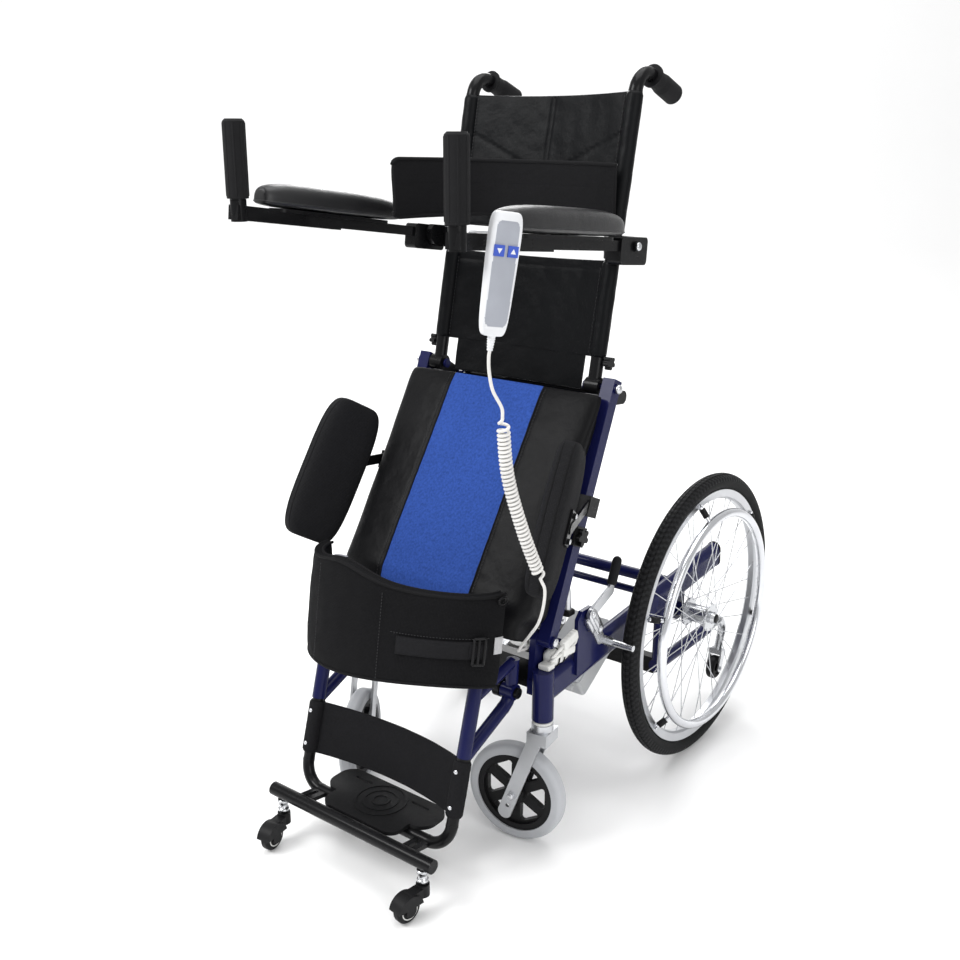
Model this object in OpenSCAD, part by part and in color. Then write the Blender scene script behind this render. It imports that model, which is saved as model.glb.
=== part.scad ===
// Standing wheelchair in its raised pose: seat upright, backrest and arms above it.
// Front is -Y, the user's left is +X, up is +Z and the floor is z = 0. Sizes in millimetres.
// Side points are [y, z] with y counted from the rear axle line.

/* [Overall] */
// Distance of the rear axle line behind the part's origin
axle_y = 274.37; // [265:0.01:285]

/* [Rear wheels] */
// Distance of the wheel's middle plane from the chair's middle
wheel_x = 275; // [275:0.5:278]
// Number of spokes in each rear wheel
spoke_count = 36; // [28:4:36]
// Tube diameter of the push rim
handrim_tube = 19; // [16:1:20]
// Diameter of the push rim along the middle of its tube
handrim_d = 455; // [445:1:460]

/* [Front casters] */
// Diameter of the front caster wheel
caster_d = 196; // [188:1:196]
// Width of the front caster tyre
caster_w = 30; // [26:1:32]
// How far the caster wheel trails its swivel axis
caster_trail = 50; // [46:1:54]
// Direction in which the left caster trails
caster_turn_left = -172; // [-180:1:180]
// Direction in which the right caster trails
caster_turn_right = -65; // [-180:1:180]

/* [Frame] */
// Width of the main rails
rail_w = 30; // [28:1:30]
// Height of the main rails
rail_h = 58; // [52:1:60]
// Rise of the main rails towards the rear
rail_rise = 4.9; // [4.5:0.1:5.2]

/* [Seat] */
// Lean of the raised seat from upright
seat_lean = 24; // [24:0.5:26]
// Half width of the seat cushion where it overhangs the rails
seat_half = 224; // [205:1:225]
// Depth of the cushion at the knees
seat_front_t = 114; // [95:1:116]
// Depth of the cushion at the hips
seat_rear_t = 51; // [40:1:55]
// Length of a thigh pad
thigh_pad_len = 280; // [250:5:285]
// Width of a thigh pad
thigh_pad_w = 120; // [104:2:122]

/* [Backrest] */
// Lean of the backrest from upright
back_lean = 12; // [10:0.5:13]
// Half distance between the backrest canes
cane_x = 182; // [181:0.5:183]
// Diameter of the backrest canes
cane_d = 25; // [22:1:25]
// Length of the push grips
grip_len = 92; // [84:2:98]

/* [Arms] */
// Distance of the arms from the chair's middle
arm_x = 232; // [231:0.5:234]
// Upward tilt of the left arm towards the front
arm_tilt_left = 5; // [3:0.5:7]
// Upward tilt of the right arm towards the front
arm_tilt_right = 7.5; // [5:0.5:8]
// Length of an arm pad
arm_pad_len = 340; // [300:5:350]
// Width of an arm pad
arm_pad_w = 62; // [52:1:62]
// Length of the foam grip on the arm post
foam_len = 125; // [110:5:135]

/* [Legs] */
// Lean of the leg tubes from upright
leg_lean = 15.7; // [14:0.1:17]
// Half distance between the leg tubes
leg_x = 177; // [176:0.5:178]
// Outside diameter of the leg tubes
leg_d = 26; // [25:0.5:27]
// Diameter of the small casters under the footrest
foot_wheel_d = 50; // [46:1:50]

/* [Controls] */
// Height of the hand control
handset_h = 178; // [165:1:180]
// Width of the hand control
handset_w = 52; // [46:1:53]
// Number of turns in the coiled cord
coil_turns = 42; // [30:1:44]
// Thickness of the cord
cord_d = 5.2; // [4.6:0.1:5.4]

/* [Hidden] */
$fn = 64;

// Colours
frame_blue = [0.09, 0.08, 0.33];
black = [0.05, 0.05, 0.06];
soft_black = [0.10, 0.10, 0.11];
silver = [0.75, 0.76, 0.78];
pale_grey = [0.80, 0.81, 0.82];
tyre_grey = [0.62, 0.63, 0.65];
white = [0.93, 0.93, 0.92];
pad_blue = [0.18, 0.33, 0.75];

// Running fit on the diameter of a pin
fit = 0.1;

// Rear wheel
axle_z = 305;
rim_floor_r = 265.8;
spoke_d = 2;

// Main frame
rail_x = 220;
rail_start = -504;
rail_end = 165;
lower_tube_z = 200;
upright_y = -72;
head_bottom = 262;
head_top = 358;

// Pivots
knee = [-488, 410];
link_offset = [55, -35];
hip_s = 468;
hip_n = 4;
leg_pivot = [-547, 322];
hip = knee + hip_s * [sin(seat_lean), cos(seat_lean)] + hip_n * [-cos(seat_lean), sin(seat_lean)];
link_foot = knee + link_offset;
link_top = hip + link_offset;
lift_foot = [-96, 196];
lift_s = 60;
lift_n = -38;
lift_eye = knee + lift_s * [sin(seat_lean), cos(seat_lean)] + lift_n * [-cos(seat_lean), sin(seat_lean)];
lift_x = -60;
lift_len = norm(lift_eye - lift_foot);
lift_tilt = atan2(-(lift_eye[0] - lift_foot[0]), lift_eye[1] - lift_foot[1]);
brake_pivot = [-395, 437];
shoe_pivot = [-372, 404];
shoe_end = [-309, 347];

// Seat
rail_in = 204;
seat_rail_t = 25;
cushion_low = -3.6;
cushion_s0 = -12;
cushion_s1 = 446;
thigh_pad_t = 46;
thigh_pad_at = [252, -543.3, 654.6];
thigh_out_left = 12;
thigh_out_right = 3;

// Backrest
bend_r = 40;
cane_top = 522;
grip_drop = 20;
cane_turn = 90 + grip_drop - back_lean;
cane_trim = bend_r * tan(cane_turn / 2);
cane_corner = hip + [sin(back_lean), cos(back_lean)] * (cane_top + cane_trim);
grip_dir = [cos(grip_drop), -sin(grip_drop)];
arm_pivot = [-280, 1090.87];
arm_post = -480;
pad_back_left = -47;
pad_back_right = -97;

// Legs
leg_foot = [-726, 88];
foot_bar = [-788, 98];
foot_stem_x = 172;
foot_trail = 37;

// Hand control
handset_at = [267, -705, 1084];
handset_yaw = 62;
handset_roll = 8;
handset_t = 24;
button_depth = 3;

// Cord routes, as points in the axle frame
upper_route = [[259.75, -718.64, 974.08], [259.1, -719.87, 964.18], [260.2, -720.4, 944],
    [263.6, -716, 915], [267.8, -699.2, 886], [268, -697.05, 870.35]];
coil_route = [[268, -697, 870], [271, -687, 778], [287, -669, 688], [306, -642, 598]];
lower_route = [[306.07, -641.9, 597.66], [309.6, -636.9, 581], [304, -632, 549], [280, -611, 505],
    [243, -582, 462], [216, -562, 432], [205, -556, 417], [196, -548, 406], [188, -530, 399],
    [183, -505, 391], [174, -474, 389], [158, -457, 386], [148, -450, 379], [148, -450, 372]];
coil_r = 8.2;

// General helpers
module at_axle() {
    translate([0, axle_y, 0]) children();
}

module on_right() {
    mirror([1, 0, 0]) children();
}

module both_sides() {
    children();
    mirror([1, 0, 0]) children();
}

// Straight round bar between two points
module rod(p, q, d) {
    v = q - p;
    h = norm(v);
    translate(p) rotate([0, acos(v[2] / h), atan2(v[1], v[0])]) cylinder(d = d, h = h);
}

// Draws a side view flat shape upright, starting at x and growing outwards
module side_view(x, t) {
    translate([x, 0, 0]) rotate([90, 0, 90]) linear_extrude(t) children();
}

// Round pin across the chair at a side point
module cross_pin(p, x0, x1, d) {
    translate([x0, p[0], p[1]]) rotate([0, 90, 0]) cylinder(d = d, h = x1 - x0);
}

module stadium(w, h) {
    square([w, h - w], center = true);
    translate([0, (h - w) / 2]) circle(d = w);
    translate([0, -(h - w) / 2]) circle(d = w);
}

// Flat bar with round ends between two flat points
module flat_bar(p, q, w) {
    v = q - p;
    translate(p) circle(d = w);
    translate(q) circle(d = w);
    translate(p) rotate(atan2(v[1], v[0])) translate([0, 0.4 - w / 2]) square([norm(v), w - 0.8]);
}

// Box with the four upright edges rounded
module round_box(x, y, z, r) {
    linear_extrude(z) round_rect(x, y, r);
}

module round_rect(x, y, r) {
    square([x - 2 * r, y], center = true);
    square([x, y - 2 * r], center = true);
    for (i = [-1, 1], j = [-1, 1]) translate([i * (x / 2 - r), j * (y / 2 - r)]) circle(r = r);
}

function unit(v) = v / norm(v);
function turn_of(a, b) = atan2(a[0] * b[1] - a[1] * b[0], a[0] * b[0] + a[1] * b[1]);
function trim_of(a, b, r) = r * tan(abs(turn_of(a, b)) / 2);
function heading(v) = atan2(v[1], v[0]);

// Tube along flat points with one bend radius and a fine weld collar at each end of a bend
module bent_tube(pts, d, r) {
    n = len(pts);
    dirs = [for (i = [0:n - 2]) unit(pts[i + 1] - pts[i])];
    cut = [for (i = [0:n - 1]) (i == 0 || i == n - 1) ? 0 : trim_of(dirs[i - 1], dirs[i], r)];
    for (i = [0:n - 2]) {
        p = pts[i] + dirs[i] * cut[i];
        q = pts[i + 1] - dirs[i] * cut[i + 1];
        rod([p[0], p[1], 0], [q[0], q[1], 0], d);
    }
    for (i = [1:n - 2]) {
        phi = turn_of(dirs[i - 1], dirs[i]);
        s = pts[i] - dirs[i - 1] * cut[i];
        e = pts[i] + dirs[i] * cut[i];
        left = [-dirs[i - 1][1], dirs[i - 1][0]];
        c = s + (phi > 0 ? left : -left) * r;
        start = phi > 0 ? heading(s - c) : heading(e - c);
        translate([c[0], c[1], 0]) rotate(start) rotate_extrude(angle = abs(phi))
            translate([r, 0]) circle(d = d);
        for (w = [[s, dirs[i - 1]], [e, dirs[i]]]) {
            a = w[0] - w[1] * 2;
            b = w[0] + w[1] * 2;
            rod([a[0], a[1], 0], [b[0], b[1], 0], d + 0.8);
        }
    }
}

// Tube whose flat points are side points
module side_tube(x, pts, d, r) {
    translate([x, 0, 0]) rotate([90, 0, 90]) bent_tube(pts, d, r);
}

module seat_axes() {
    translate([0, knee[0], knee[1]]) rotate([-seat_lean, 0, 0]) children();
}

module back_axes() {
    translate([0, hip[0], hip[1]]) rotate([-back_lean, 0, 0]) children();
}

module leg_axes() {
    translate([0, leg_foot[0], leg_foot[1]]) rotate([-leg_lean, 0, 0]) children();
}

module arm_axes(tilt) {
    translate([arm_x, arm_pivot[0], arm_pivot[1]]) rotate([-tilt, 0, 0]) children();
}

module wheel_axes() {
    translate([wheel_x, 0, axle_z]) rotate([0, 90, 0]) children();
}

// Star knob with five lobes, growing along z
module star_knob(d, h) {
    cylinder(d = d * 0.62, h = h);
    for (i = [0:4]) rotate(i * 72) translate([d * 0.33, 0, 0]) cylinder(d = d * 0.3, h = h);
}

// Closed skin through rings of points
module loft(rings) {
    n = len(rings);
    m = len(rings[0]);
    sides = [for (i = [0:n - 2], j = [0:m - 1]) each [
        [i * m + j, (i + 1) * m + j, (i + 1) * m + (j + 1) % m],
        [i * m + j, (i + 1) * m + (j + 1) % m, i * m + (j + 1) % m]]];
    first = [for (j = [0:m - 1]) j];
    last = [for (j = [m - 1:-1:0]) (n - 1) * m + j];
    polyhedron(points = [for (r = rings) each r], faces = concat([first], sides, [last]));
}

function sgn_pow(v, p) = sign(v) * pow(abs(v), p);
function squircle(a, p) = [sgn_pow(cos(a), 2 / p), sgn_pow(sin(a), 2 / p)];
function bulge(t, p) = pow(max(0, 1 - pow(abs(t), p)), 1 / p);

// Smooth route through points
function spline(a, b, c, d, t) = 0.5 * (2 * b + (c - a) * t + (2 * a - 5 * b + 4 * c - d) * t * t
    + (3 * b - a - 3 * c + d) * t * t * t);
function route_at(pts, u) = let (n = len(pts) - 1, i = min(floor(u), n - 1), t = u - i)
    spline(i == 0 ? 2 * pts[0] - pts[1] : pts[i - 1], pts[i], pts[i + 1],
        i == n - 1 ? 2 * pts[n] - pts[n - 1] : pts[i + 2], t);
function route(pts, per) = [for (k = [0:(len(pts) - 1) * per]) route_at(pts, k / per)];
function tangents(p) = let (n = len(p) - 1)
    [for (i = [0:n]) unit(p[min(i + 1, n)] - p[max(i - 1, 0)])];

// Round cord through points with straight square ends
module cord(p, d, ref, sides) {
    t = tangents(p);
    loft([for (i = [0:len(p) - 1]) let (u = unit(cross(t[i], ref)), v = cross(t[i], u))
        [for (j = [0:sides - 1]) p[i] + d / 2 * (cos(j * 360 / sides) * u + sin(j * 360 / sides) * v)]]);
}

// Base frame
function rail_z(y) = 324 + (y + 464) * tan(rail_rise);

module rail_bar() {
    translate([rail_x, rail_start, rail_z(rail_start)]) rotate([rail_rise - 90, 0, 0])
        linear_extrude((rail_end - rail_start) / cos(rail_rise)) stadium(rail_w, rail_h);
}

module upright_tube() {
    rod([rail_x, upright_y, lower_tube_z], [rail_x, upright_y, 350], 25);
}

module lower_tube() {
    rod([rail_x, -85, lower_tube_z], [rail_x, 150, lower_tube_z], 28);
}

module pivot_ear() {
    side_view(190, 13) {
        polygon([[-513, 306], [-505, 410], [-488, 427], [-471, 412], [-420, 380], [-420, 366], [-440, 308]]);
        translate(knee) circle(r = 17);
        translate(link_foot) circle(r = 14);
    }
    translate([190, -512, 308]) cube([17, 70, 27]);
}

module brake_plate() {
    side_view(233, 8) polygon([[-425, 322], [-425, 432], [-412, 446], [-380, 446], [-358, 424], [-358, 326]]);
}

module axle_bracket() {
    translate([210, -24, axle_z]) cube([16, 48, 42]);
    cross_pin([0, axle_z], 210, 226, 48);
    cross_pin([0, axle_z], 205, 242.5, 30);
}

module side_frame_solid() {
    difference() {
        union() {
            rail_bar();
            upright_tube();
            lower_tube();
            translate([rail_x, -504, head_bottom]) cylinder(d = 40, h = head_top - head_bottom);
            pivot_ear();
            brake_plate();
            axle_bracket();
            cross_pin(knee, 202, 231, 12);
            cross_pin(knee, 229.6, 233.6, 20);
            cross_pin(link_foot, 164, 191, 10);
            cross_pin(link_foot, 161, 164.6, 16);
            cross_pin(brake_pivot, 240, 254, 8);
            cross_pin(shoe_pivot, 240, 246, 8);
        }
        translate([rail_x, -504, head_bottom - 1]) cylinder(d = 16 + fit, h = 89);
        cross_pin([0, axle_z], 204, 244, 12 + fit);
        rod([rail_x, 92, lower_tube_z], [rail_x, 151, lower_tube_z], 20.2);
    }
}

module cross_tubes() {
    difference() {
        union() {
            cross_pin([-38, 376], -rail_x, rail_x, 25);
            cross_pin([-38, 338], -rail_x, rail_x, 16);
        }
        on_right() rail_bar();
    }
}

module side_frame_left() {
    color(frame_blue) at_axle() union() {
        side_frame_solid();
        cross_tubes();
    }
}

module side_frame_right() {
    color(frame_blue) at_axle() on_right() side_frame_solid();
}

module leg_lug() {
    side_view(148, 14) {
        polygon([[-506, 318], [-506, 350], [-549, 338], [-556, 309]]);
        translate(leg_pivot) circle(r = 16);
    }
    cross_pin(leg_pivot, 150, 193, 12);
    cross_pin(leg_pivot, 192, 197, 20);
    cross_pin(leg_pivot, 143, 149, 18);
}

module lift_clevis() {
    for (s = [-1, 1]) side_view(lift_x + s * 15 - 3, 6) {
        polygon([[-70, 178], [-70, 208], [-96, 210], [-108, 194], [-96, 182]]);
        translate(lift_foot) circle(r = 13);
    }
    cross_pin(lift_foot, lift_x - 20, lift_x + 20, 10);
}

module cross_beams() {
    color(black) at_axle() {
        union() {
            translate([-190, -508, 316]) cube([380, 24, 56]);
            both_sides() leg_lug();
        }
        difference() {
            union() {
                translate([-212, -71, 174]) cube([424, 22, 36]);
                lift_clevis();
            }
            both_sides() {
                lower_tube();
                upright_tube();
            }
        }
    }
}

module frame_end_caps() {
    color(black) at_axle() both_sides() translate([rail_x, rail_end, rail_z(rail_end)])
        rotate([rail_rise - 90, 0, 0]) {
            linear_extrude(5) stadium(rail_w + 2, rail_h + 2);
            translate([0, 0, 5]) linear_extrude(4) stadium(rail_w - 6, rail_h - 6);
        }
}

module control_box() {
    color(pale_grey) at_axle() union() {
        translate([80, -283, 197]) rotate([32, 0, 0]) {
            translate([45, 75, 0]) round_box(90, 150, 62, 8);
            translate([45, 75, 40]) round_box(94, 154, 5, 10);
            for (x = [25, 65]) translate([x, -9, 26]) rotate([-90, 0, 0]) cylinder(d = 16, h = 12);
        }
        translate([95, -484, 322]) cube([91, 100, 8]);
        translate([110, -388, 322]) rotate([-37.6, 0, 0]) cube([30, 108, 6]);
    }
}

module wiring_bundle() {
    color(white) at_axle() translate([136, -434, 330.2]) {
        round_box(58, 84, 28, 20);
        translate([0, 0, 28]) round_box(46, 74, 8, 16);
        translate([0, 0, 36]) round_box(36, 60, 5.8, 14);
    }
}

module anti_tip_tubes() {
    color(silver) at_axle() both_sides() union() {
        side_tube(rail_x, [[95, 200], [250, 200], [222, 117]], 20, 30);
        translate([rail_x, 222, 117]) rotate([-18, 0, 0]) cube([32, 24, 12], center = true);
        for (x = [-16, 12]) side_view(rail_x + x, 4) flat_bar([222, 117], [210, 82], 20);
        cross_pin([210, 82], rail_x - 19, rail_x + 19, 8);
    }
}

// Rear wheel pieces
module rear_tyre() {
    wheel_axes() rotate_extrude() difference() {
        union() {
            translate([287.5, 0]) circle(d = 35);
            translate([266, -9.9]) square([9, 19.8]);
        }
        for (y = [-8, 0, 8]) translate([305 - abs(y) * 0.23 - 1.4, y - 1]) square([4, 2]);
    }
}

module rear_rim() {
    wheel_axes() rotate_extrude() polygon([[252, -6], [252, 6], [256, 10.5], [272, 12.3], [272, 10.1],
        [rim_floor_r, 10.1], [rim_floor_r, -10.1], [272, -10.1], [272, -12.3], [256, -10.5]]);
}

module spoke(side, k) {
    each_side = spoke_count / 2;
    lace = k % 2 == 0 ? 1 : -1;
    a = k * 360 / each_side + (side > 0 ? 0 : 180 / each_side);
    b = a + lace * 60;
    hub_h = side * (25 + lace * 2.4);
    rim_h = side * (4 + lace * 1.3);
    rod([27 * cos(a), 27 * sin(a), hub_h], [251.9 * cos(b), 251.9 * sin(b), rim_h], spoke_d);
}

module rear_spokes() {
    wheel_axes() union() {
        translate([0, 0, -32]) cylinder(d = 24, h = 64);
        translate([0, 0, -24]) cylinder(d = 38, h = 48);
        for (z = [-27, 23]) translate([0, 0, z]) cylinder(d = 60, h = 4);
        translate([0, 0, -69]) cylinder(d = 12, h = 40);
        translate([0, 0, 31]) cylinder(d1 = 26, d2 = 20, h = 7);
        for (k = [0:spoke_count / 2 - 1]) spoke(1, k);
        for (k = [0:spoke_count / 2 - 1]) spoke(-1, k);
    }
}

module handrim() {
    r = handrim_d / 2;
    wheel_axes() union() {
        rotate_extrude() translate([r, 36]) circle(d = handrim_tube);
        for (k = [0:5]) rotate(k * 60 + 12) {
            rod([r, 0, 36], [262, 0, 15], 8);
            translate([262, 0, 12.2]) cylinder(d = 12, h = 4);
        }
    }
}

module rear_tyre_left() {
    color(black) at_axle() rear_tyre();
}

module rear_tyre_right() {
    color(black) at_axle() on_right() rear_tyre();
}

module rear_rim_left() {
    color(silver) at_axle() rear_rim();
}

module rear_rim_right() {
    color(silver) at_axle() on_right() rear_rim();
}

module rear_spokes_left() {
    color(silver) at_axle() rear_spokes();
}

module rear_spokes_right() {
    color(silver) at_axle() on_right() rear_spokes();
}

module handrim_left() {
    color(silver) at_axle() handrim();
}

module handrim_right() {
    color(silver) at_axle() on_right() handrim();
}

// Front caster pieces, drawn with the trail along x
module fork_leg() {
    rotate([90, 0, 0]) linear_extrude(5, center = true) difference() {
        flat_bar([0, 236], [caster_trail + 14, 98 - 38], 28);
        translate([-40, 240]) square([80, 40]);
        translate([caster_trail + 8, 98 - 23]) circle(d = 8);
    }
}

module caster_fork() {
    union() {
        translate([0, 0, 238]) cylinder(d = 16, h = 108);
        translate([0, 0, 240]) cylinder(d = 40, h = 14);
        translate([0, 0, 253]) cylinder(d = 32, h = 8.4);
        translate([-20, -24.5, 216]) cube([40, 49, 24]);
        for (s = [-1, 1]) translate([0, s * 22, 0]) fork_leg();
        translate([caster_trail, 0, 98]) rotate([90, 0, 0]) cylinder(d = 10, h = 54, center = true);
        for (s = [-1, 1]) translate([caster_trail, s * 26, 98]) rotate([90, 0, 0])
            cylinder(d = 17, h = 5, center = true);
    }
}

module caster_tyre() {
    r = caster_d / 2;
    h = caster_w / 2;
    translate([caster_trail, 0, 98]) rotate([90, 0, 0]) rotate_extrude() {
        translate([r - 10, h - 10]) circle(r = 10);
        translate([r - 10, 10 - h]) circle(r = 10);
        translate([r - 10, 10 - h]) square([10, 2 * h - 20]);
        translate([78, -h]) square([r - 88, 2 * h]);
    }
}

// Rounded three-cornered window in the caster disc
module disc_window() {
    a = [30, 0];
    b = [55, 15];
    c = [55, -15];
    flat_bar(a, b, 11);
    flat_bar(b, c, 11);
    flat_bar(c, a, 11);
    polygon([a, b, c]);
}

module caster_core() {
    translate([caster_trail, 0, 98]) rotate([90, 0, 0]) difference() {
        union() {
            rotate_extrude() translate([66, -12]) square([11.8, 24]);
            linear_extrude(12, center = true) difference() {
                circle(r = 67);
                for (k = [0:5]) rotate(k * 60) disc_window();
            }
            cylinder(d = 40, h = 34, center = true);
        }
        cylinder(d = 10 + fit, h = 60, center = true);
    }
}

module caster_at(x, turn) {
    translate([x, -504, 0]) rotate(turn) children();
}

module caster_fork_left() {
    color(silver) at_axle() caster_at(rail_x, caster_turn_left) caster_fork();
}

module caster_fork_right() {
    color(silver) at_axle() caster_at(-rail_x, caster_turn_right) caster_fork();
}

module caster_tyre_left() {
    color(tyre_grey) at_axle() caster_at(rail_x, caster_turn_left) caster_tyre();
}

module caster_tyre_right() {
    color(tyre_grey) at_axle() caster_at(-rail_x, caster_turn_right) caster_tyre();
}

module caster_core_left() {
    color(black) at_axle() caster_at(rail_x, caster_turn_left) caster_core();
}

module caster_core_right() {
    color(black) at_axle() caster_at(-rail_x, caster_turn_right) caster_core();
}

module anti_tip_wheel() {
    translate([rail_x, 210, 82]) rotate([0, 90, 0]) rotate_extrude() difference() {
        union() {
            translate([4 + fit / 2, -10]) square([18, 20]);
            translate([20, -6]) square([7, 12]);
            translate([21, 4]) circle(r = 6);
            translate([21, -4]) circle(r = 6);
        }
        translate([9, 7]) square([8, 4]);
        translate([9, -11]) square([8, 4]);
    }
}

module anti_tip_wheel_left() {
    color(black) at_axle() anti_tip_wheel();
}

module anti_tip_wheel_right() {
    color(black) at_axle() on_right() anti_tip_wheel();
}

// Parking brake
module brake_lever() {
    difference() {
        union() {
            side_view(246.4, 5) {
                flat_bar(brake_pivot, [-330, 463], 22);
                flat_bar([-330, 463], [-318, 492], 16);
            }
            rod([249, -321, 486], [249, -305.5, 520.5], 11);
            rod([249, -306, 519.4], [249, -304.6, 522.6], 8);
        }
        cross_pin(brake_pivot, 240, 260, 8 + fit);
    }
}

module brake_shoe() {
    difference() {
        union() {
            side_view(241.5, 4) {
                flat_bar(shoe_pivot, [-352, 372], 24);
                flat_bar([-352, 372], shoe_end, 18);
            }
            cross_pin(shoe_end, 242, 292, 12);
        }
        cross_pin(shoe_pivot, 240, 248, 8 + fit);
    }
}

module brake_lever_left() {
    color(black) at_axle() brake_lever();
}

module brake_lever_right() {
    color(black) at_axle() on_right() brake_lever();
}

module brake_shoe_left() {
    color(silver) at_axle() brake_shoe();
}

module brake_shoe_right() {
    color(silver) at_axle() on_right() brake_shoe();
}

// Lifting actuator, drawn along z from its foot
module lift_axes() {
    translate([lift_x, lift_foot[0], lift_foot[1]]) rotate([lift_tilt, 0, 0]) children();
}

module actuator_body() {
    color(soft_black) at_axle() lift_axes() difference() {
        union() {
            rotate([0, 90, 0]) cylinder(d = 26, h = 22, center = true);
            translate([-11, -12, 0]) cube([22, 24, 26]);
            translate([0, 0, 22]) round_box(62, 46, 62, 9);
            translate([24, 0, 58]) cylinder(d = 44, h = 120);
            translate([0, 0, 80]) cylinder(d = 36, h = 225);
            translate([0, 0, 299]) cylinder(d = 40, h = 12);
        }
        rotate([0, 90, 0]) cylinder(d = 10 + fit, h = 40, center = true);
        translate([0, 0, 110]) cylinder(d = 20 + fit, h = 240);
    }
}

module actuator_rod() {
    color(silver) at_axle() lift_axes() union() {
        translate([0, 0, 190]) cylinder(d = 20, h = lift_len - 200);
        translate([0, 0, lift_len]) rotate([0, 90, 0]) cylinder(d = 24, h = 16, center = true);
        translate([0, 0, lift_len]) rotate([0, 90, 0]) cylinder(d = 12, h = 42, center = true);
        for (s = [-1, 1]) translate([s * 20, 0, lift_len]) rotate([0, 90, 0])
            cylinder(d = 18, h = 5, center = true);
    }
}

// Seat, drawn with z up the rail and y behind it
module seat_rail() {
    translate([rail_in, -15, 0]) cube([seat_rail_t, 26, 484]);
    translate([rail_in, -2, 0]) rotate([0, 90, 0]) cylinder(r = 13, h = seat_rail_t);
}

module lift_lug() {
    in_slot = [-lift_n, lift_s];
    back = unit(in_slot) * -11.2;
    for (s = [-1, 1]) side_view(lift_x + s * 13.5 - 2.5, 5) difference() {
        union() {
            polygon([[5, 20], [5, 112], [20, 114], [66, 66], [62, 46], [30, 20]]);
            translate(in_slot) circle(r = 22);
        }
        flat_bar(in_slot + unit(in_slot) * 0.6, in_slot + back, 16.6);
    }
}

module seat_frame() {
    color(frame_blue) at_axle() seat_axes() difference() {
        union() {
            both_sides() seat_rail();
            translate([-205, 4, 34]) cube([410, 4, 411]);
            for (z = [108, 400]) translate([-205, 16.5, z]) rotate([0, 90, 0]) cylinder(d = 22, h = 410);
            lift_lug();
            both_sides() translate([0, -hip_n, hip_s]) rotate([0, 90, 0]) {
                translate([0, 0, 166]) cylinder(d = 12, h = 40);
                translate([0, 0, 162.5]) cylinder(d = 18, h = 4);
                translate([0, 0, 228]) cylinder(d = 18, h = 4);
            }
        }
        both_sides() translate([200, 0, 0]) rotate([0, 90, 0]) cylinder(d = 12 + fit, h = 40);
    }
}

// Cushion: crowned wedge with drawn-in sides and two long channels
cushion_rows = 22;
cushion_cols = 56;
cushion_foot = 200;
function cushion_top(s) = s < 52 ? seat_front_t - pow((52 - s) / 64, 2) * 14
    : seat_front_t + (seat_rear_t - seat_front_t) * (s - 52) / 382;
function cushion_channel(x) = 5 * exp(-pow((abs(x) - 105) / 7, 2));
function cushion_ring(k) = let (
    t = -1 + 2 * k / (cushion_rows - 1),
    e = bulge(t * 0.999, 7),
    s = (cushion_s0 + cushion_s1) / 2 + sgn_pow(t, 0.8) * (cushion_s1 - cushion_s0) / 2,
    high = cushion_top(s),
    mid = (high + cushion_low) / 2,
    half = (high - cushion_low) / 2 * (0.55 + 0.45 * e),
    knees = 1 - 0.1 * exp(-pow((s + 12) / 40, 4)),
    wide = (cushion_foot - 5 * (1 - t * t)) * (0.9 + 0.1 * e) * knees)
    [for (j = [0:cushion_cols - 1]) let (
        q = squircle(j * 360 / cushion_cols, 5),
        deep = mid + half * q[1],
        over = max(0, min(1, (deep - 19) / 9)),
        x = wide * q[0] * (1 + (seat_half / cushion_foot - 1) * over * over * (3 - 2 * over)),
        up = q[1] > 0.3 ? (3 - 3 * pow(q[0], 2)) * e - cushion_channel(x) * e : 0,
        n = deep + up)
        [x, -max(n, cushion_low), s]];

module seat_cushion() {
    color(pad_blue) at_axle() seat_axes()
        loft([for (k = [cushion_rows - 1:-1:0]) [for (p = cushion_ring(k)) [p[0], p[1], p[2]]]]);
}

// Soft oblong pad, thickness along x and length along z
function pad_ring(t, len, w, thick, m) = let (e = bulge(t, 3.4))
    [for (j = [0:m - 1]) let (q = squircle(j * 360 / m, 4))
        [thick / 2 * q[0] * (0.45 + 0.55 * e), w / 2 * q[1] * (0.35 + 0.65 * e), len / 2 * t]];

module soft_pad(len, w, thick, rows, m) {
    loft([for (k = [0:rows]) pad_ring(-cos(k * 180 / rows), len, w, thick, m)]);
}

module thigh_axes(out) {
    translate(thigh_pad_at + [out, 0, 0])
        rotate([-30, 0, 0]) rotate([0, -4, 0]) rotate([0, 0, 20]) children();
}

module thigh_pads() {
    color(soft_black) at_axle() {
        thigh_axes(thigh_out_left) soft_pad(thigh_pad_len, thigh_pad_w, thigh_pad_t, 14, 24);
        on_right() thigh_axes(thigh_out_right) soft_pad(thigh_pad_len, thigh_pad_w, thigh_pad_t, 14, 24);
    }
}

// Holder of a thigh pad: clamp knob on the seat rail, stay and screwed plate
module pad_holder(out) {
    seat_axes() {
        translate([229.3, -26, 176]) cube([6, 34, 36]);
        translate([235, -8, 194]) rotate([0, 90, 0]) star_knob(34, 8);
    }
    union() {
        seat_axes() translate([229.3, -36, 232]) cube([out + 12, 32, 36]);
        thigh_axes(out) {
            side_view(25.6, 4) flat_bar([0, 0], [118, 70], 20);
            translate([23.6, -16, -30]) cube([4, 32, 60]);
            for (z = [-22, 22]) translate([27, 0, z]) rotate([0, 90, 0]) cylinder(d = 10, h = 4);
        }
    }
}

module pad_brackets() {
    color(black) at_axle() {
        pad_holder(thigh_out_left);
        on_right() pad_holder(thigh_out_right);
    }
}

module back_links() {
    color(frame_blue) at_axle() both_sides() difference() {
        side_view(168, 9) flat_bar(link_foot, link_top, 22);
        cross_pin(link_foot, 160, 190, 10 + fit);
        cross_pin(link_top, 160, 190, 11);
    }
}

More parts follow.
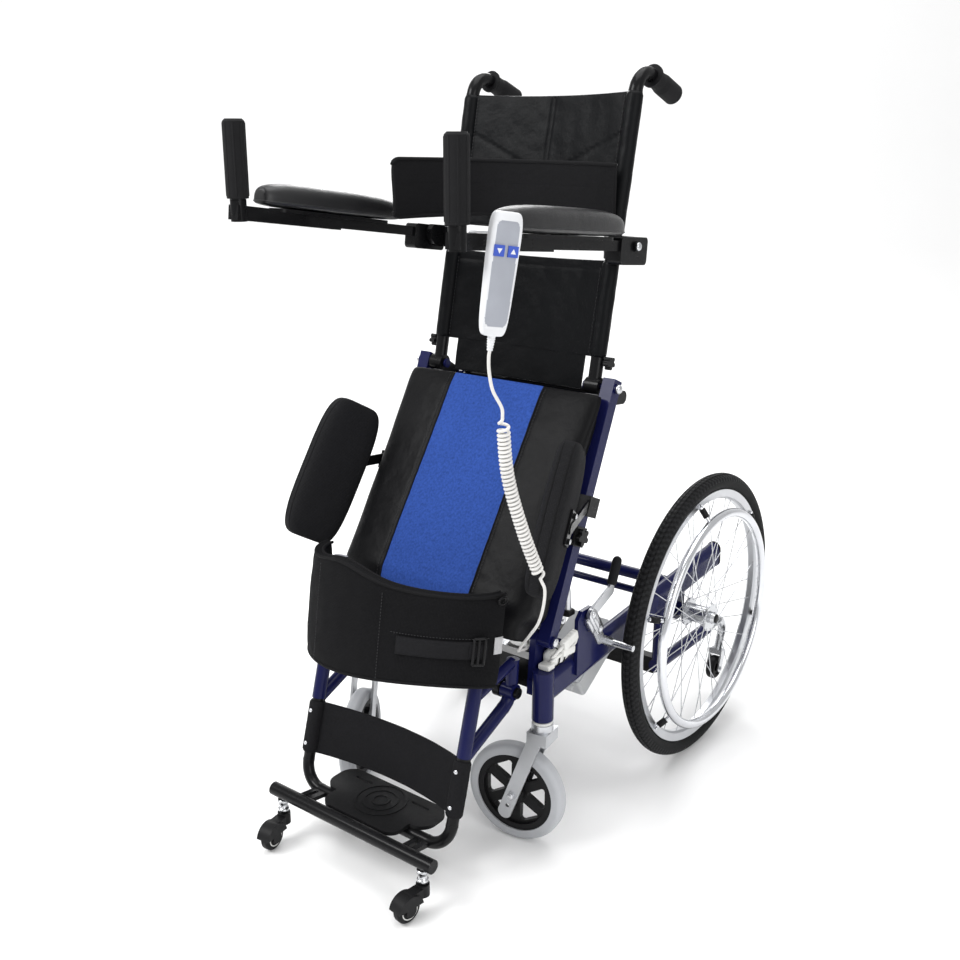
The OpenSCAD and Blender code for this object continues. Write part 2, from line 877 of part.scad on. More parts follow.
// Backrest, drawn with z up the canes
module cane() {
    side_tube(cane_x, [hip + [sin(back_lean), cos(back_lean)] * -6, cane_corner,
        cane_corner + grip_dir * (cane_trim + grip_len - 8)], cane_d, bend_r);
}

module hip_bracket() {
    side_view(181, 6) {
        flat_bar(hip, link_top, 30);
        flat_bar(link_top, [-203, 800], 26);
    }
    cross_pin(hip, 169, 198, 32);
    cross_pin(link_top, 164, 183, 10);
    cross_pin(link_top, 161, 164.6, 16);
}

module arm_bracket() {
    y = arm_pivot[0];
    z = arm_pivot[1];
    y_cane = hip[0] + (z - hip[1]) * tan(back_lean);
    translate([cane_x, y_cane, z - 27]) cylinder(d = 36, h = 39);
    translate([cane_x + 8, y_cane - 14, z - 27]) cube([26, 28, 39]);
    side_view(204, 12) polygon([[y_cane + 14, z - 27], [y_cane + 14, z + 12], [y - 8, z + 18],
        [y - 18, z + 9], [y - 18, z - 9], [y - 8, z - 20]]);
    cross_pin(arm_pivot, 210, 248, 10);
    cross_pin(arm_pivot, 246.6, 250, 18);
}

module backrest_frame() {
    color(black) at_axle() difference() {
        union() {
            both_sides() {
                cane();
                hip_bracket();
                arm_bracket();
            }
            cross_pin([-203, 800], -184, 184, 22);
        }
        both_sides() cross_pin(hip, 160, 200, 12 + fit);
    }
}

module grip_axes() {
    start = cane_corner + grip_dir * cane_trim;
    translate([cane_x, start[0], start[1]]) rotate([-90 - grip_drop, 0, 0]) children();
}

module push_grips() {
    color(soft_black) at_axle() both_sides() grip_axes() translate([0, 0, 2.3]) difference() {
        union() {
            cylinder(d = 42, h = 5);
            cylinder(d = 34, h = 30);
            translate([0, 0, 28]) cylinder(d1 = 34, d2 = 38, h = 14);
            translate([0, 0, 41]) cylinder(d = 38, h = grip_len - 45);
            translate([0, 0, grip_len - 5]) cylinder(d1 = 38, d2 = 28, h = 7);
        }
        translate([0, 0, -1]) cylinder(d = cane_d + 0.3, h = grip_len - 4);
    }
}

// Slung panel between sleeves round the canes
module sling(sag, thick) {
    reach = cane_x - 4;
    r = (reach * reach + sag * sag) / (2 * sag);
    difference() {
        union() {
            intersection() {
                translate([0, sag - r]) difference() {
                    circle(r = r + thick / 2, $fn = 200);
                    circle(r = r - thick / 2, $fn = 200);
                }
                translate([-reach, -20]) square([2 * reach, sag + 40]);
            }
            for (s = [-1, 1]) translate([s * cane_x, 0]) circle(d = cane_d + 6);
        }
        for (s = [-1, 1]) translate([s * cane_x, 0]) circle(d = cane_d + 1);
    }
}

module back_upholstery() {
    color(soft_black) at_axle() back_axes() {
        translate([0, 0, 277]) linear_extrude(244) sling(22, 12);
        translate([0, 0, 52]) linear_extrude(172) sling(30, 8);
        translate([0, 0, -10]) linear_extrude(62) intersection() {
            sling(30, 8);
            translate([-150, -20]) square([300, 80]);
        }
    }
}

// Chest belt: band across the front, its free end left open to the front
belt_path = [[190, -262], [160, -266], [120, -268], [40, -268], [-30, -274], [-80, -292],
    [-115, -325], [-135, -370], [-146, -420], [-150, -466]];
belt_low = 1133;
belt_high = 1226;

module chest_belt() {
    pts = route([for (p = belt_path) [p[0], p[1], 0]], 4);
    t = tangents(pts);
    color(soft_black) at_axle() loft([for (i = [len(pts) - 1:-1:0]) let (
        n = [-t[i][1], t[i][0], 0],
        u = i / (len(pts) - 1),
        top = belt_high + 10 * u - (u > 0.97 ? 10 : 0),
        low = belt_low + (u > 0.97 ? 10 : 0))
        [[pts[i][0] + 3 * n[0], pts[i][1] + 3 * n[1], low + 3], [pts[i][0], pts[i][1], low],
         [pts[i][0] - 3 * n[0], pts[i][1] - 3 * n[1], low + 3],
         [pts[i][0] - 4 * n[0], pts[i][1] - 4 * n[1], (low + top) / 2],
         [pts[i][0] - 3 * n[0], pts[i][1] - 3 * n[1], top - 3], [pts[i][0], pts[i][1], top],
         [pts[i][0] + 3 * n[0], pts[i][1] + 3 * n[1], top - 3],
         [pts[i][0] + 4 * n[0], pts[i][1] + 4 * n[1], (low + top) / 2]]]);
}

module back_knobs() {
    color(black) at_axle() both_sides() {
        back_axes() translate([cane_x + cane_d / 2 + 0.2, 4, 44]) rotate([0, 90, 0]) {
            cylinder(d = 12, h = 5);
            translate([0, 0, 4]) star_knob(26, 12);
        }
    }
}

// Arms, drawn from the pivot with the front along -y
module arm_body(tilt, pad_back) {
    arm_axes(tilt) {
        difference() {
            union() {
                side_view(-13, 26) translate([-3, -8]) round_rect(90, 48, 8);
                translate([-9, arm_post + 150, -9]) cube([18, -arm_post - 150, 18]);
                translate([-12, arm_post - 12, -12]) cube([24, 240, 24]);
                translate([0, pad_back - arm_pad_len / 2, 8]) round_box(44, arm_pad_len - 60, 6, 20);
                translate([0, arm_post, 0]) rotate([tilt, 0, 0]) {
                    translate([0, 0, -14]) cylinder(d = 27, h = 36);
                    cylinder(d = 22, h = 24 + foam_len - 6);
                }
            }
            translate([-20, 0, 0]) rotate([0, 90, 0]) cylinder(d = 10 + fit, h = 40);
        }
    }
}

// Arm pad: half-round top, flat underneath
function arm_pad_ring(t) = let (e = bulge(t, 3))
    [for (j = [0:19]) let (q = squircle(j * 18, 2.6), h = q[1] > 0 ? 34 * q[1] : 10 * q[1])
        [arm_pad_w / 2 * q[0] * (0.3 + 0.7 * e), arm_pad_len / 2 * t, 10 + h * (0.4 + 0.6 * e)]];

module arm_pad(tilt, pad_back) {
    arm_axes(tilt) translate([0, pad_back - arm_pad_len / 2, 14.3])
        loft([for (k = [14:-1:0]) arm_pad_ring(-cos(k * 180 / 14))]);
}

module arm_grip(tilt) {
    arm_axes(tilt) translate([0, arm_post, 0]) rotate([tilt, 0, 0]) translate([0, 0, 23]) difference() {
        union() {
            cylinder(d = 36, h = foam_len - 4);
            translate([0, 0, foam_len - 4]) cylinder(d1 = 36, d2 = 28, h = 4);
            for (k = [0:7]) rotate(k * 45) translate([17, 0, 4]) cylinder(d = 4, h = foam_len - 10);
        }
        translate([0, 0, -1]) cylinder(d = 22.3, h = foam_len - 3);
    }
}

module arm_left() {
    color(black) at_axle() arm_body(arm_tilt_left, pad_back_left);
}

module arm_right() {
    color(black) at_axle() on_right() arm_body(arm_tilt_right, pad_back_right);
}

module arm_pad_left() {
    color(soft_black) at_axle() arm_pad(arm_tilt_left, pad_back_left);
}

module arm_pad_right() {
    color(soft_black) at_axle() on_right() arm_pad(arm_tilt_right, pad_back_right);
}

module arm_grip_left() {
    color(soft_black) at_axle() arm_grip(arm_tilt_left);
}

module arm_grip_right() {
    color(soft_black) at_axle() on_right() arm_grip(arm_tilt_right);
}

// Hand control with two push buttons
module handset_axes() {
    translate(handset_at) rotate([0, 0, handset_yaw]) rotate([0, handset_roll, 0]) children();
}

function handset_ring(t) = let (
    e = bulge(t, 5),
    w = handset_w * (0.92 + 0.08 * t) * (0.3 + 0.7 * e),
    d = handset_t * (0.9 + 0.1 * t) * (0.4 + 0.6 * e))
    [for (j = [0:23]) let (q = squircle(j * 15, 4)) [w / 2 * q[0], d / 2 * q[1], handset_h / 2 * t]];

module button_shape(x, grow) {
    translate([x - 8 - grow, -handset_t / 2 - 1, 26 - grow])
        cube([16 + 2 * grow, button_depth + 1 + grow * 6, 16 + 2 * grow]);
}

module handset() {
    color(pale_grey) at_axle() {
        handset_axes() difference() {
            union() {
                loft([for (k = [0:16]) handset_ring(-cos(k * 180 / 16))]);
                translate([0, 0, -handset_h / 2 - 22]) cylinder(d1 = 8, d2 = 13, h = 26);
            }
            button_shape(-11, 0.5);
            button_shape(11, 0.5);
        }
        translate([217, -712, 1141.5]) cube([40, 18, 3]);
        translate([214, -712, 1118]) cube([3.4, 18, 26.5]);
    }
}

module button_up() {
    color(pad_blue) at_axle() handset_axes() button_shape(11, 0);
}

module button_down() {
    color(pad_blue) at_axle() handset_axes() button_shape(-11, 0);
}

// Cord from the hand control, its coil and the lower lead
coil_steps = coil_turns * 8;
function coil_axis(u) = route_at(coil_route, u * (len(coil_route) - 1));
function coil_ease(k) = let (u = max(0, min(1, k / 8))) u * u * (3 - 2 * u);
function coil_radius(k) = coil_r * min(coil_ease(k - 1), coil_ease(coil_steps - 1 - k));
function coil_dir(u) = unit(coil_axis(min(1, u + 0.01)) - coil_axis(max(0, u - 0.01)));
function coil_side(u) = unit(cross(coil_dir(u), [1, 0.2, 0]));
function coil_point(k) = let (u = k / coil_steps, a = k * 45, s = coil_side(u), w = cross(coil_dir(u), s))
    coil_axis(u) + coil_radius(k) * (cos(a) * s + sin(a) * w);
coil_points = [for (k = [0:coil_steps]) coil_point(k)];
coil_gap = min([for (i = [0:coil_steps - 11], j = [5:11]) norm(coil_points[i] - coil_points[i + j])])
    - cord_d;

module cord_upper() {
    color(white) at_axle() cord(route(upper_route, 3), cord_d, [1, 0.2, 0], 8);
}

module cord_coil() {
    echo("least gap between coil turns", coil_gap);
    color(white) at_axle() cord(coil_points, cord_d, [1, 0.2, 0.1], 6);
}

module cord_lower() {
    color(white) at_axle() cord(route(lower_route, 3), cord_d, [0, 1, 0.25], 8);
}

// Legs and footrest
module leg_side() {
    leg_axes() translate([leg_x, 0, 168]) cylinder(d = leg_d, h = 277);
    rod([leg_x, -650, 350], [leg_x, -539, 376], 20);
    side_tube(leg_x, [[-538, 382], [-545, 305], [-676, 250]], 24, 40);
    cross_pin(leg_pivot, 164, 190, 30);
}

module leg_frame() {
    color(frame_blue) at_axle() both_sides() difference() {
        leg_side();
        cross_pin(leg_pivot, 150, 200, 12 + fit);
        leg_axes() translate([leg_x, 0, 160]) cylinder(d = 22.3, h = 70);
    }
}

module footrest_frame() {
    color(black) at_axle() union() {
        leg_axes() rotate([90, 0, 0])
            bent_tube([[-leg_x, 225], [-leg_x, 0], [leg_x, 0], [leg_x, 225]], 22, 45);
        cross_pin(foot_bar, -196, 196, 25);
        difference() {
            both_sides() side_view(112, 30) polygon([[-726, 84], [-726, 92], [-788, 102], [-788, 94]]);
            both_sides() translate([127, -757, 60]) linear_extrude(60) flat_bar([0, -12], [0, 12], 9);
        }
        both_sides() translate([foot_stem_x, foot_bar[0], 59]) difference() {
            cylinder(d = 14, h = 30);
            translate([0, 0, -1]) cylinder(d = 8 + fit, h = 22);
        }
    }
}

module footplate() {
    color(black) at_axle() translate([0, -714, 99.6]) difference() {
        union() {
            linear_extrude(7) {
                round_rect(180, 118, 24);
                translate([0, 24]) round_rect(250, 76, 30);
            }
            for (r = [18, 34, 50]) difference() {
                translate([0, 10, 6]) cylinder(r = r, h = 2.4);
                translate([0, 10, 5]) cylinder(r = r - 5, h = 4);
            }
        }
        translate([0, leg_foot[0] + 714, leg_foot[1] - 99.6]) rotate([0, 90, 0])
            cylinder(d = 22.4, h = 300, center = true);
        for (x = [-70, 70]) translate([x, 40, -1]) linear_extrude(9) flat_bar([-18, 0], [18, 0], 6);
    }
}

module calf_strap() {
    reach = leg_x - 4;
    sag = 34;
    r = (reach * reach + sag * sag) / (2 * sag);
    color(soft_black) at_axle() leg_axes() translate([0, 0, 62]) linear_extrude(100) difference() {
        union() {
            intersection() {
                translate([0, sag - r]) difference() {
                    circle(r = r + 2.5, $fn = 200);
                    circle(r = r - 2.5, $fn = 200);
                }
                translate([-reach, -20]) square([2 * reach, sag + 40]);
            }
            for (s = [-1, 1]) translate([s * leg_x, 0]) circle(d = leg_d + 6);
        }
        for (s = [-1, 1]) translate([s * leg_x, 0]) circle(d = leg_d + 0.8);
    }
}

// Knee pad: soft band bowed forward in front of both knees
function knee_ring(u) = let (
    a = -90 + 180 * u,
    cx = 204 * sin(a),
    cy = -622 - 112 * cos(a),
    n = unit([112 * sin(a), -204 * cos(a)]),
    high = 540 + 8 * sin(180 * u) + 18 * exp(-pow((u - 0.4) / 0.12, 2)),
    low = 357 + 34 * pow(sin(min(90, 120 * u)), 4) - 16 * pow(max(0, 4 * u - 3), 2),
    mid = (high + low) / 2,
    half = (high - low) / 2,
    th = 11 + 3 * sin(180 * u))
    [for (j = [0:15]) let (q = squircle(j * 22.5 + 11, 4), z = mid + half * q[1])
        [cx + n[0] * th * q[0], cy + n[1] * th * q[0] + 0.16 * (z - 440), z]];

module knee_pad() {
    color(soft_black) at_axle() loft([for (k = [32:-1:0]) knee_ring(k / 32)]);
}

// Small casters under the footrest, drawn with the trail along x
module foot_caster() {
    r = foot_wheel_d / 2;
    difference() {
        union() {
            translate([0, 0, 34]) cylinder(d = 24, h = 22);
            translate([0, 0, 50]) cylinder(d = 8, h = 28);
            translate([0, -10, 34]) cube([foot_trail, 20, 18]);
            translate([foot_trail, 0, r]) rotate([90, 0, 0]) cylinder(r = r + 2.5, h = 28, center = true);
        }
        translate([foot_trail, 0, r]) rotate([90, 0, 0]) cylinder(r = r + 0.8, h = 19, center = true);
        translate([-20, -30, -20]) cube([120, 60, 50]);
    }
    translate([foot_trail, 0, r]) rotate([90, 0, 0]) cylinder(d = 8, h = 27, center = true);
    for (s = [-1, 1]) translate([foot_trail, s * 11.7, r]) rotate([90, 0, 0])
        cylinder(d = 22, h = 3.8, center = true);
}

module foot_wheel() {
    r = foot_wheel_d / 2;
    translate([foot_trail, 0, r]) rotate([90, 0, 0]) difference() {
        rotate_extrude() {
            translate([4, -8.5]) square([r - 8, 17]);
            translate([r - 5, -3.5]) square([5, 7]);
            translate([r - 5, 3.5]) circle(r = 5);
            translate([r - 5, -3.5]) circle(r = 5);
        }
        cylinder(d = 8 + fit, h = 40, center = true);
    }
}

module foot_caster_at(s) {
    turn = s > 0 ? -98 : -82;
    translate([s * foot_stem_x, foot_bar[0], 0]) rotate(turn) children();
}

module foot_caster_left() {
    color(black) at_axle() foot_caster_at(1) foot_caster();
}

module foot_caster_right() {
    color(black) at_axle() foot_caster_at(-1) foot_caster();
}

module foot_wheel_left() {
    color(soft_black) at_axle() foot_caster_at(1) foot_wheel();
}

module foot_wheel_right() {
    color(soft_black) at_axle() foot_caster_at(-1) foot_wheel();
}

side_frame_left();
side_frame_right();
cross_beams();
frame_end_caps();
control_box();
wiring_bundle();
anti_tip_tubes();
rear_tyre_left();
rear_tyre_right();
rear_rim_left();
rear_rim_right();
rear_spokes_left();
rear_spokes_right();
handrim_left();
handrim_right();
caster_fork_left();
caster_fork_right();
caster_tyre_left();
caster_tyre_right();
caster_core_left();
caster_core_right();
anti_tip_wheel_left();
anti_tip_wheel_right();
brake_lever_left();
brake_lever_right();
brake_shoe_left();
brake_shoe_right();
actuator_body();
actuator_rod();
seat_frame();
seat_cushion();
thigh_pads();
pad_brackets();
back_links();
backrest_frame();
push_grips();
back_upholstery();
chest_belt();
back_knobs();
arm_left();
arm_right();
arm_pad_left();
arm_pad_right();
arm_grip_left();
arm_grip_right();
handset();
button_up();
button_down();
cord_upper();
cord_coil();
cord_lower();
leg_frame();
footrest_frame();
footplate();
calf_strap();
knee_pad();
foot_caster_left();
foot_caster_right();
foot_wheel_left();
foot_wheel_right();
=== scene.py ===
"""Looks of the standing wheelchair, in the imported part's frame and in metres."""

import math

import bmesh
import bpy
from mathutils import Matrix, Vector, noise


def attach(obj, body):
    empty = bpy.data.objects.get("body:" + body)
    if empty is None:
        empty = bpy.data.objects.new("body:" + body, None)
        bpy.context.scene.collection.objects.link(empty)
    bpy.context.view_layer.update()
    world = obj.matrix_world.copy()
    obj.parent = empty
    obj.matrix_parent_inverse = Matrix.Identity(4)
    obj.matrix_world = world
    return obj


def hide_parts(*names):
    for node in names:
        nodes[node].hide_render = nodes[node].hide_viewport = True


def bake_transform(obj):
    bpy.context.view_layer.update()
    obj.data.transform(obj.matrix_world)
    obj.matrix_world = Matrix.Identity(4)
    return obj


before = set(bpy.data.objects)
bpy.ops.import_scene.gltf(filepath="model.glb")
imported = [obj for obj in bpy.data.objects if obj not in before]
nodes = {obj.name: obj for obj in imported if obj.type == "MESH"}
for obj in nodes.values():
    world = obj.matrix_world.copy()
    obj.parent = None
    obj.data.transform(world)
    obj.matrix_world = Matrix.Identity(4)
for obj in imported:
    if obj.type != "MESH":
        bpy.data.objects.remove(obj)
scene = bpy.context.scene
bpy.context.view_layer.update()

# Places. Side points are (y, z) in millimetres with y counted from the rear axle line.
AXLE_Y = 274.37
KNEE = (-488, 410)
HIP = (-301.3, 839.17)
LEG_FOOT = (-726, 88)
ARM_PIVOT = (-280, 1090.87)
WHEEL_X, AXLE_Z = 275, 305
THIGH_PAD_X, THIGH_PAD_YZ = {1: 264, -1: 255}, (-543.3, 654.6)
LEG_TUBE_X = 177
BRAKE_FACE, BRAKE_BOLTS = 254.8, ((-395, 437), (-370, 401))
SIDES = ((1, "left"), (-1, "right"))

# Casters: (x, y) of the upright stem, and the degrees that the caster of each side is turned
CASTER_STEM, CASTER_TURNS = (220, -504), {1: -172, -1: -65}
FOOT_STEM, FOOT_TURNS = (172, -788), {1: -98, -1: -82}


def at(x, y, z):
    """Point in the part's frame from millimetres counted from the axle line."""
    return Vector((x, y + AXLE_Y, z)) / 1000


def heading(degrees):
    """Cosine and sine of an angle in degrees."""
    a = math.radians(degrees)
    return math.cos(a), math.sin(a)


def leaning(origin, degrees):
    """Placing function for axes that lean back from upright at a side point."""
    c, s = heading(degrees)
    return lambda x, y, z: at(x, origin[0] + y * c + z * s, origin[1] - y * s + z * c)


def turned(origin, *turns, side=1):
    """Placing function for axes turned by (degrees, axis) steps at a point, mirrored for side -1."""
    m = Matrix.Identity(3)
    for degrees, axis in turns:
        m = m @ Matrix.Rotation(math.radians(degrees), 3, axis)

    def place(x, y, z):
        p = m @ Vector((x, y, z)) + Vector(origin)
        return at(side * p.x, p.y, p.z)

    return place


seat_axes = leaning(KNEE, 24)
back_axes = leaning(HIP, 12)
leg_axes = leaning(LEG_FOOT, 15.7)
handset_axes = turned((267, -705, 1084), (62, "Z"), (8, "Y"))


def thigh_axes(side):
    return turned((THIGH_PAD_X[side], *THIGH_PAD_YZ), (-30, "X"), (-4, "Y"), (20, "Z"), side=side)


def wheel_axes(side):
    return lambda x, y, z: at(side * (WHEEL_X + z), y, AXLE_Z - x)


def swivel_axes(stem, degrees, side):
    """Placing function for a caster turned on its stem."""
    c, s = heading(degrees)
    return lambda x, y, z: at(side * stem[0] + x * c - y * s, stem[1] + x * s + y * c, z)


def shifted(place, x0, y0, z0):
    return lambda x, y, z: place(x0 + x, y0 + y, z0 + z)


# Shapes
def signed_power(v, p):
    return math.copysign(abs(v) ** p, v)


def squircle(turn, p):
    a = math.tau * turn
    return signed_power(math.cos(a), 2 / p), signed_power(math.sin(a), 2 / p)


def bulge(t, p):
    return max(0.0, 1 - abs(t) ** p) ** (1 / p)


def wave(x, y, z, size):
    """Soft random height from -1 to 1 over the given size in millimetres."""
    return noise.noise(Vector((x, y, z)) / size)


def spline(points, per):
    """Smooth route through points, with so many steps between two of them."""
    pts = [Vector(p) for p in points]
    pts = [2 * pts[0] - pts[1], *pts, 2 * pts[-1] - pts[-2]]
    out = []
    for i in range(1, len(pts) - 2):
        a, b, c, d = pts[i - 1 : i + 3]
        for k in range(per):
            t = k / per
            out.append(0.5 * (2 * b + (c - a) * t + (2 * a - 5 * b + 4 * c - d) * t**2
                              + (3 * b - a - 3 * c + d) * t**3))
    return [*out, pts[-2]]


def mesh_object(name, verts, faces, look, picks=None, uvs=None, smooth=True):
    mesh = bpy.data.meshes.new(name)
    mesh.from_pydata([tuple(v) for v in verts], [], faces)
    if uvs:
        layer = mesh.uv_layers.new(name="UVMap")
        layer.data.foreach_set("uv", [c for uv in uvs for c in uv])
    for one in look if isinstance(look, list) else [look]:
        mesh.materials.append(one)
    if picks:
        mesh.polygons.foreach_set("material_index", picks)
    build = bmesh.new()
    build.from_mesh(mesh)
    bmesh.ops.recalc_face_normals(build, faces=build.faces)
    build.to_mesh(mesh)
    build.free()
    mesh.polygons.foreach_set("use_smooth", [smooth] * len(mesh.polygons))
    obj = bpy.data.objects.new(name, mesh)
    scene.collection.objects.link(obj)
    return obj


def steps(points):
    """Running length along points."""
    run = [0.0]
    for a, b in zip(points, points[1:]):
        run.append(run[-1] + (b - a).length)
    return run


def skin(rings, closed=True, caps=True, first=0):
    """Vertices, faces and metre UVs of the surface through rings of points."""
    n, m = len(rings), len(rings[0])
    verts = [p for ring in rings for p in ring]
    middle = rings[n // 2]
    across = steps([*middle, middle[0]] if closed else middle)
    along = steps([ring[0] for ring in rings])
    faces, uvs = [], []
    for i in range(n - 1):
        for j in range(m if closed else m - 1):
            k = (j + 1) % m
            low, high = first + i * m, first + (i + 1) * m
            faces.append([low + j, low + k, high + k, high + j])
            uvs += [(across[j], along[i]), (across[j + 1], along[i]),
                    (across[j + 1], along[i + 1]), (across[j], along[i + 1])]
    if caps and closed:
        for start in (0, (n - 1) * m):
            faces.append([first + start + j for j in range(m)])
            uvs += [(0, 0)] * m
    return verts, faces, uvs


def loft(name, rings, look, closed=True, caps=True, pick=None, smooth=True):
    verts, faces, uvs = skin(rings, closed, caps)
    picks = None
    if pick:
        cols = len(rings[0]) if closed else len(rings[0]) - 1
        sides = (len(rings) - 1) * cols
        picks = [pick(i // cols, i % cols) if i < sides else pick(0, 0) for i in range(len(faces))]
    return mesh_object(name, verts, faces, look, picks, uvs, smooth)


def tube_rings(points, radius, sides=12, loop=False):
    """Rings round a route, carried along it without twisting."""
    pts = [Vector(p) for p in points]
    n = len(pts)
    rings, side = [], None
    for i, p in enumerate(pts):
        before = pts[i - 1] if i or loop else p
        after = pts[(i + 1) % n] if i < n - 1 or loop else p
        t = (after - before).normalized()
        if side is None:
            side = t.orthogonal()
        side = (side - t * side.dot(t)).normalized()
        other = t.cross(side)
        r = radius(i / (n - 1)) if callable(radius) else radius
        rings.append([p + r * (math.cos(math.tau * j / sides) * side + math.sin(math.tau * j / sides) * other)
                      for j in range(sides)])
    return rings


def tube(name, points, radius, look, sides=12, loop=False):
    rings = tube_rings(points, radius, sides, loop)
    if loop:
        rings.append(rings[0])
    return loft(name, rings, look, caps=not loop)


def several(name, shapes, look):
    """One object from several capped surfaces, each a list of rings."""
    verts, faces, uvs = [], [], []
    for rings in shapes:
        v, f, uv = skin(rings, first=len(verts))
        verts += v
        faces += f
        uvs += uv
    return mesh_object(name, verts, faces, look, uvs=uvs)


def turned_profile(place, axis, profile, sides=32):
    """Rings of a turned shape: (distance along, radius) pairs on a local axis of the place."""
    rings = []
    for along, r in profile:
        ring = []
        for j in range(sides):
            a = math.tau * j / sides
            u, v = r * math.cos(a), r * math.sin(a)
            ring.append(place(*{"x": (along, u, v), "y": (u, along, v), "z": (u, v, along)}[axis]))
        rings.append(ring)
    return rings


def point_at(points, run, length):
    """Point at a running length along points, and the step that it lies on."""
    i = next(i for i, end in enumerate(run[1:]) if length <= end)
    step = points[i + 1] - points[i]
    return points[i] + step * ((length - run[i]) / (run[i + 1] - run[i])), step


def thread(points, pitch, radius, share=0.62):
    """Stitches along a route as short rounded lengths of thread."""
    run = steps(points)
    shapes, k = [], 0
    while (k + share) * pitch < run[-1]:
        a, b = [point_at(points, run, n * pitch)[0] for n in (k, k + share)]
        shapes.append(tube_rings([a, a + (b - a) * 0.3, a + (b - a) * 0.7, b],
                                 lambda u: radius * (0.45 if u in (0, 1) else 1), 6))
        k += 1
    return shapes


def ride(obj, body, slot, *stands_for):
    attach(obj, body)
    if stands_for:
        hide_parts(*stands_for)
    return obj


# Materials
class Look:
    """A procedural material and the steps that build it up."""

    def __init__(self, name, colour, rough, metal=0.0, **sockets):
        self.mat = bpy.data.materials.new(name)
        self.mat.use_nodes = True
        self.tree = self.mat.node_tree
        self.shader = self.tree.nodes["Principled BSDF"]
        self.colour = colour
        self.shader.inputs["Base Color"].default_value = (*colour, 1)
        self.shader.inputs["Roughness"].default_value = rough
        self.shader.inputs["Metallic"].default_value = metal
        for socket, value in sockets.items():
            self.shader.inputs[socket.replace("_", " ")].default_value = value

    def node(self, kind, links=(), **settings):
        made = self.tree.nodes.new(kind)
        for name, value in settings.items():
            setattr(made, name, value)
        for socket, source in dict(links).items():
            if isinstance(source, bpy.types.NodeSocket):
                self.tree.links.new(source, made.inputs[socket])
            else:
                made.inputs[socket].default_value = source
        return made

    def places(self, kind="Object"):
        return self.node("ShaderNodeTexCoord").outputs[kind]

    def calc(self, operation, *values):
        return self.node("ShaderNodeMath", dict(enumerate(values)), operation=operation).outputs[0]

    def plus(self, a, b):
        return self.calc("ADD", a, b)

    def minus(self, a, b):
        return self.calc("SUBTRACT", a, b)

    def times(self, a, b):
        return self.calc("MULTIPLY", a, b)

    def noise(self, scale, detail):
        links = {"Vector": self.places(), "Scale": scale, "Detail": detail}
        return self.node("ShaderNodeTexNoise", links).outputs["Fac"]

    def cells(self, scale, feature="F1"):
        links = {"Vector": self.places(), "Scale": scale}
        return self.node("ShaderNodeTexVoronoi", links, feature=feature).outputs["Distance"]

    def spread(self, value, low, high, a=0.0, b=1.0):
        links = {"Value": value, "From Min": a, "From Max": b, "To Min": low, "To Max": high}
        return self.node("ShaderNodeMapRange", links).outputs["Result"]

    def mix(self, factor, first, second):
        """Base colour that goes from one colour to another with the factor."""
        mix = self.node("ShaderNodeMix", {0: factor}, data_type="RGBA")
        mix.inputs[6].default_value = (*first, 1)
        mix.inputs[7].default_value = (*second, 1)
        self.tree.links.new(mix.outputs[2], self.shader.inputs["Base Color"])

    def tint(self, factor, dark, light):
        """Base colour that varies between a darker and a lighter shade."""
        self.mix(factor, [v * dark for v in self.colour], [min(1, v * light) for v in self.colour])

    def rough(self, factor, low, high):
        self.tree.links.new(self.spread(factor, low, high), self.shader.inputs["Roughness"])

    def bump(self, height, strength, distance):
        links = {"Height": height, "Strength": strength, "Distance": distance}
        before = self.shader.inputs["Normal"].links
        if before:
            links["Normal"] = before[0].from_socket
        self.tree.links.new(self.node("ShaderNodeBump", links).outputs[0], self.shader.inputs["Normal"])
        return self


def paint(name, colour, rough=0.2):
    look = Look(name, colour, rough, Coat_Weight=0.10, Coat_Roughness=0.05, Specular_IOR_Level=0.10)
    look.tint(look.noise(14, 4), 0.82, 1.16)
    look.rough(look.noise(90, 5), rough * 0.8, rough * 1.5)
    return look.bump(look.noise(420, 2), 0.05, 0.0004).mat


def metal(name, colour, rough, grain=900):
    look = Look(name, colour, rough, 1.0)
    look.tint(look.noise(22, 4), 0.88, 1.06)
    look.rough(look.noise(60, 5), rough * 0.7, rough * 1.45)
    return look.bump(look.noise(grain, 2), 0.04, 0.0002).mat


def plastic(name, colour, rough=0.45, grain=0.10, shine=0.4):
    look = Look(name, colour, rough, Specular_IOR_Level=shine)
    look.tint(look.noise(18, 4), 0.85, 1.15)
    look.rough(look.noise(130, 3), rough * 0.85, rough * 1.2)
    return look.bump(look.cells(1500), grain, 0.0003).mat


def leather(name, colour, rough=0.36, shine=0.10, creases=0.30):
    look = Look(name, colour, rough, Specular_IOR_Level=shine)
    grain = look.cells(620, feature="DISTANCE_TO_EDGE")
    folds = look.noise(26, 5)
    look.tint(look.noise(9, 5), 0.75, 1.25)
    look.rough(folds, rough * 0.75, rough * 1.35)
    look.bump(look.spread(grain, 0, 1, 0, 0.18), 0.22, 0.0004)
    return look.bump(folds, creases, 0.004).mat


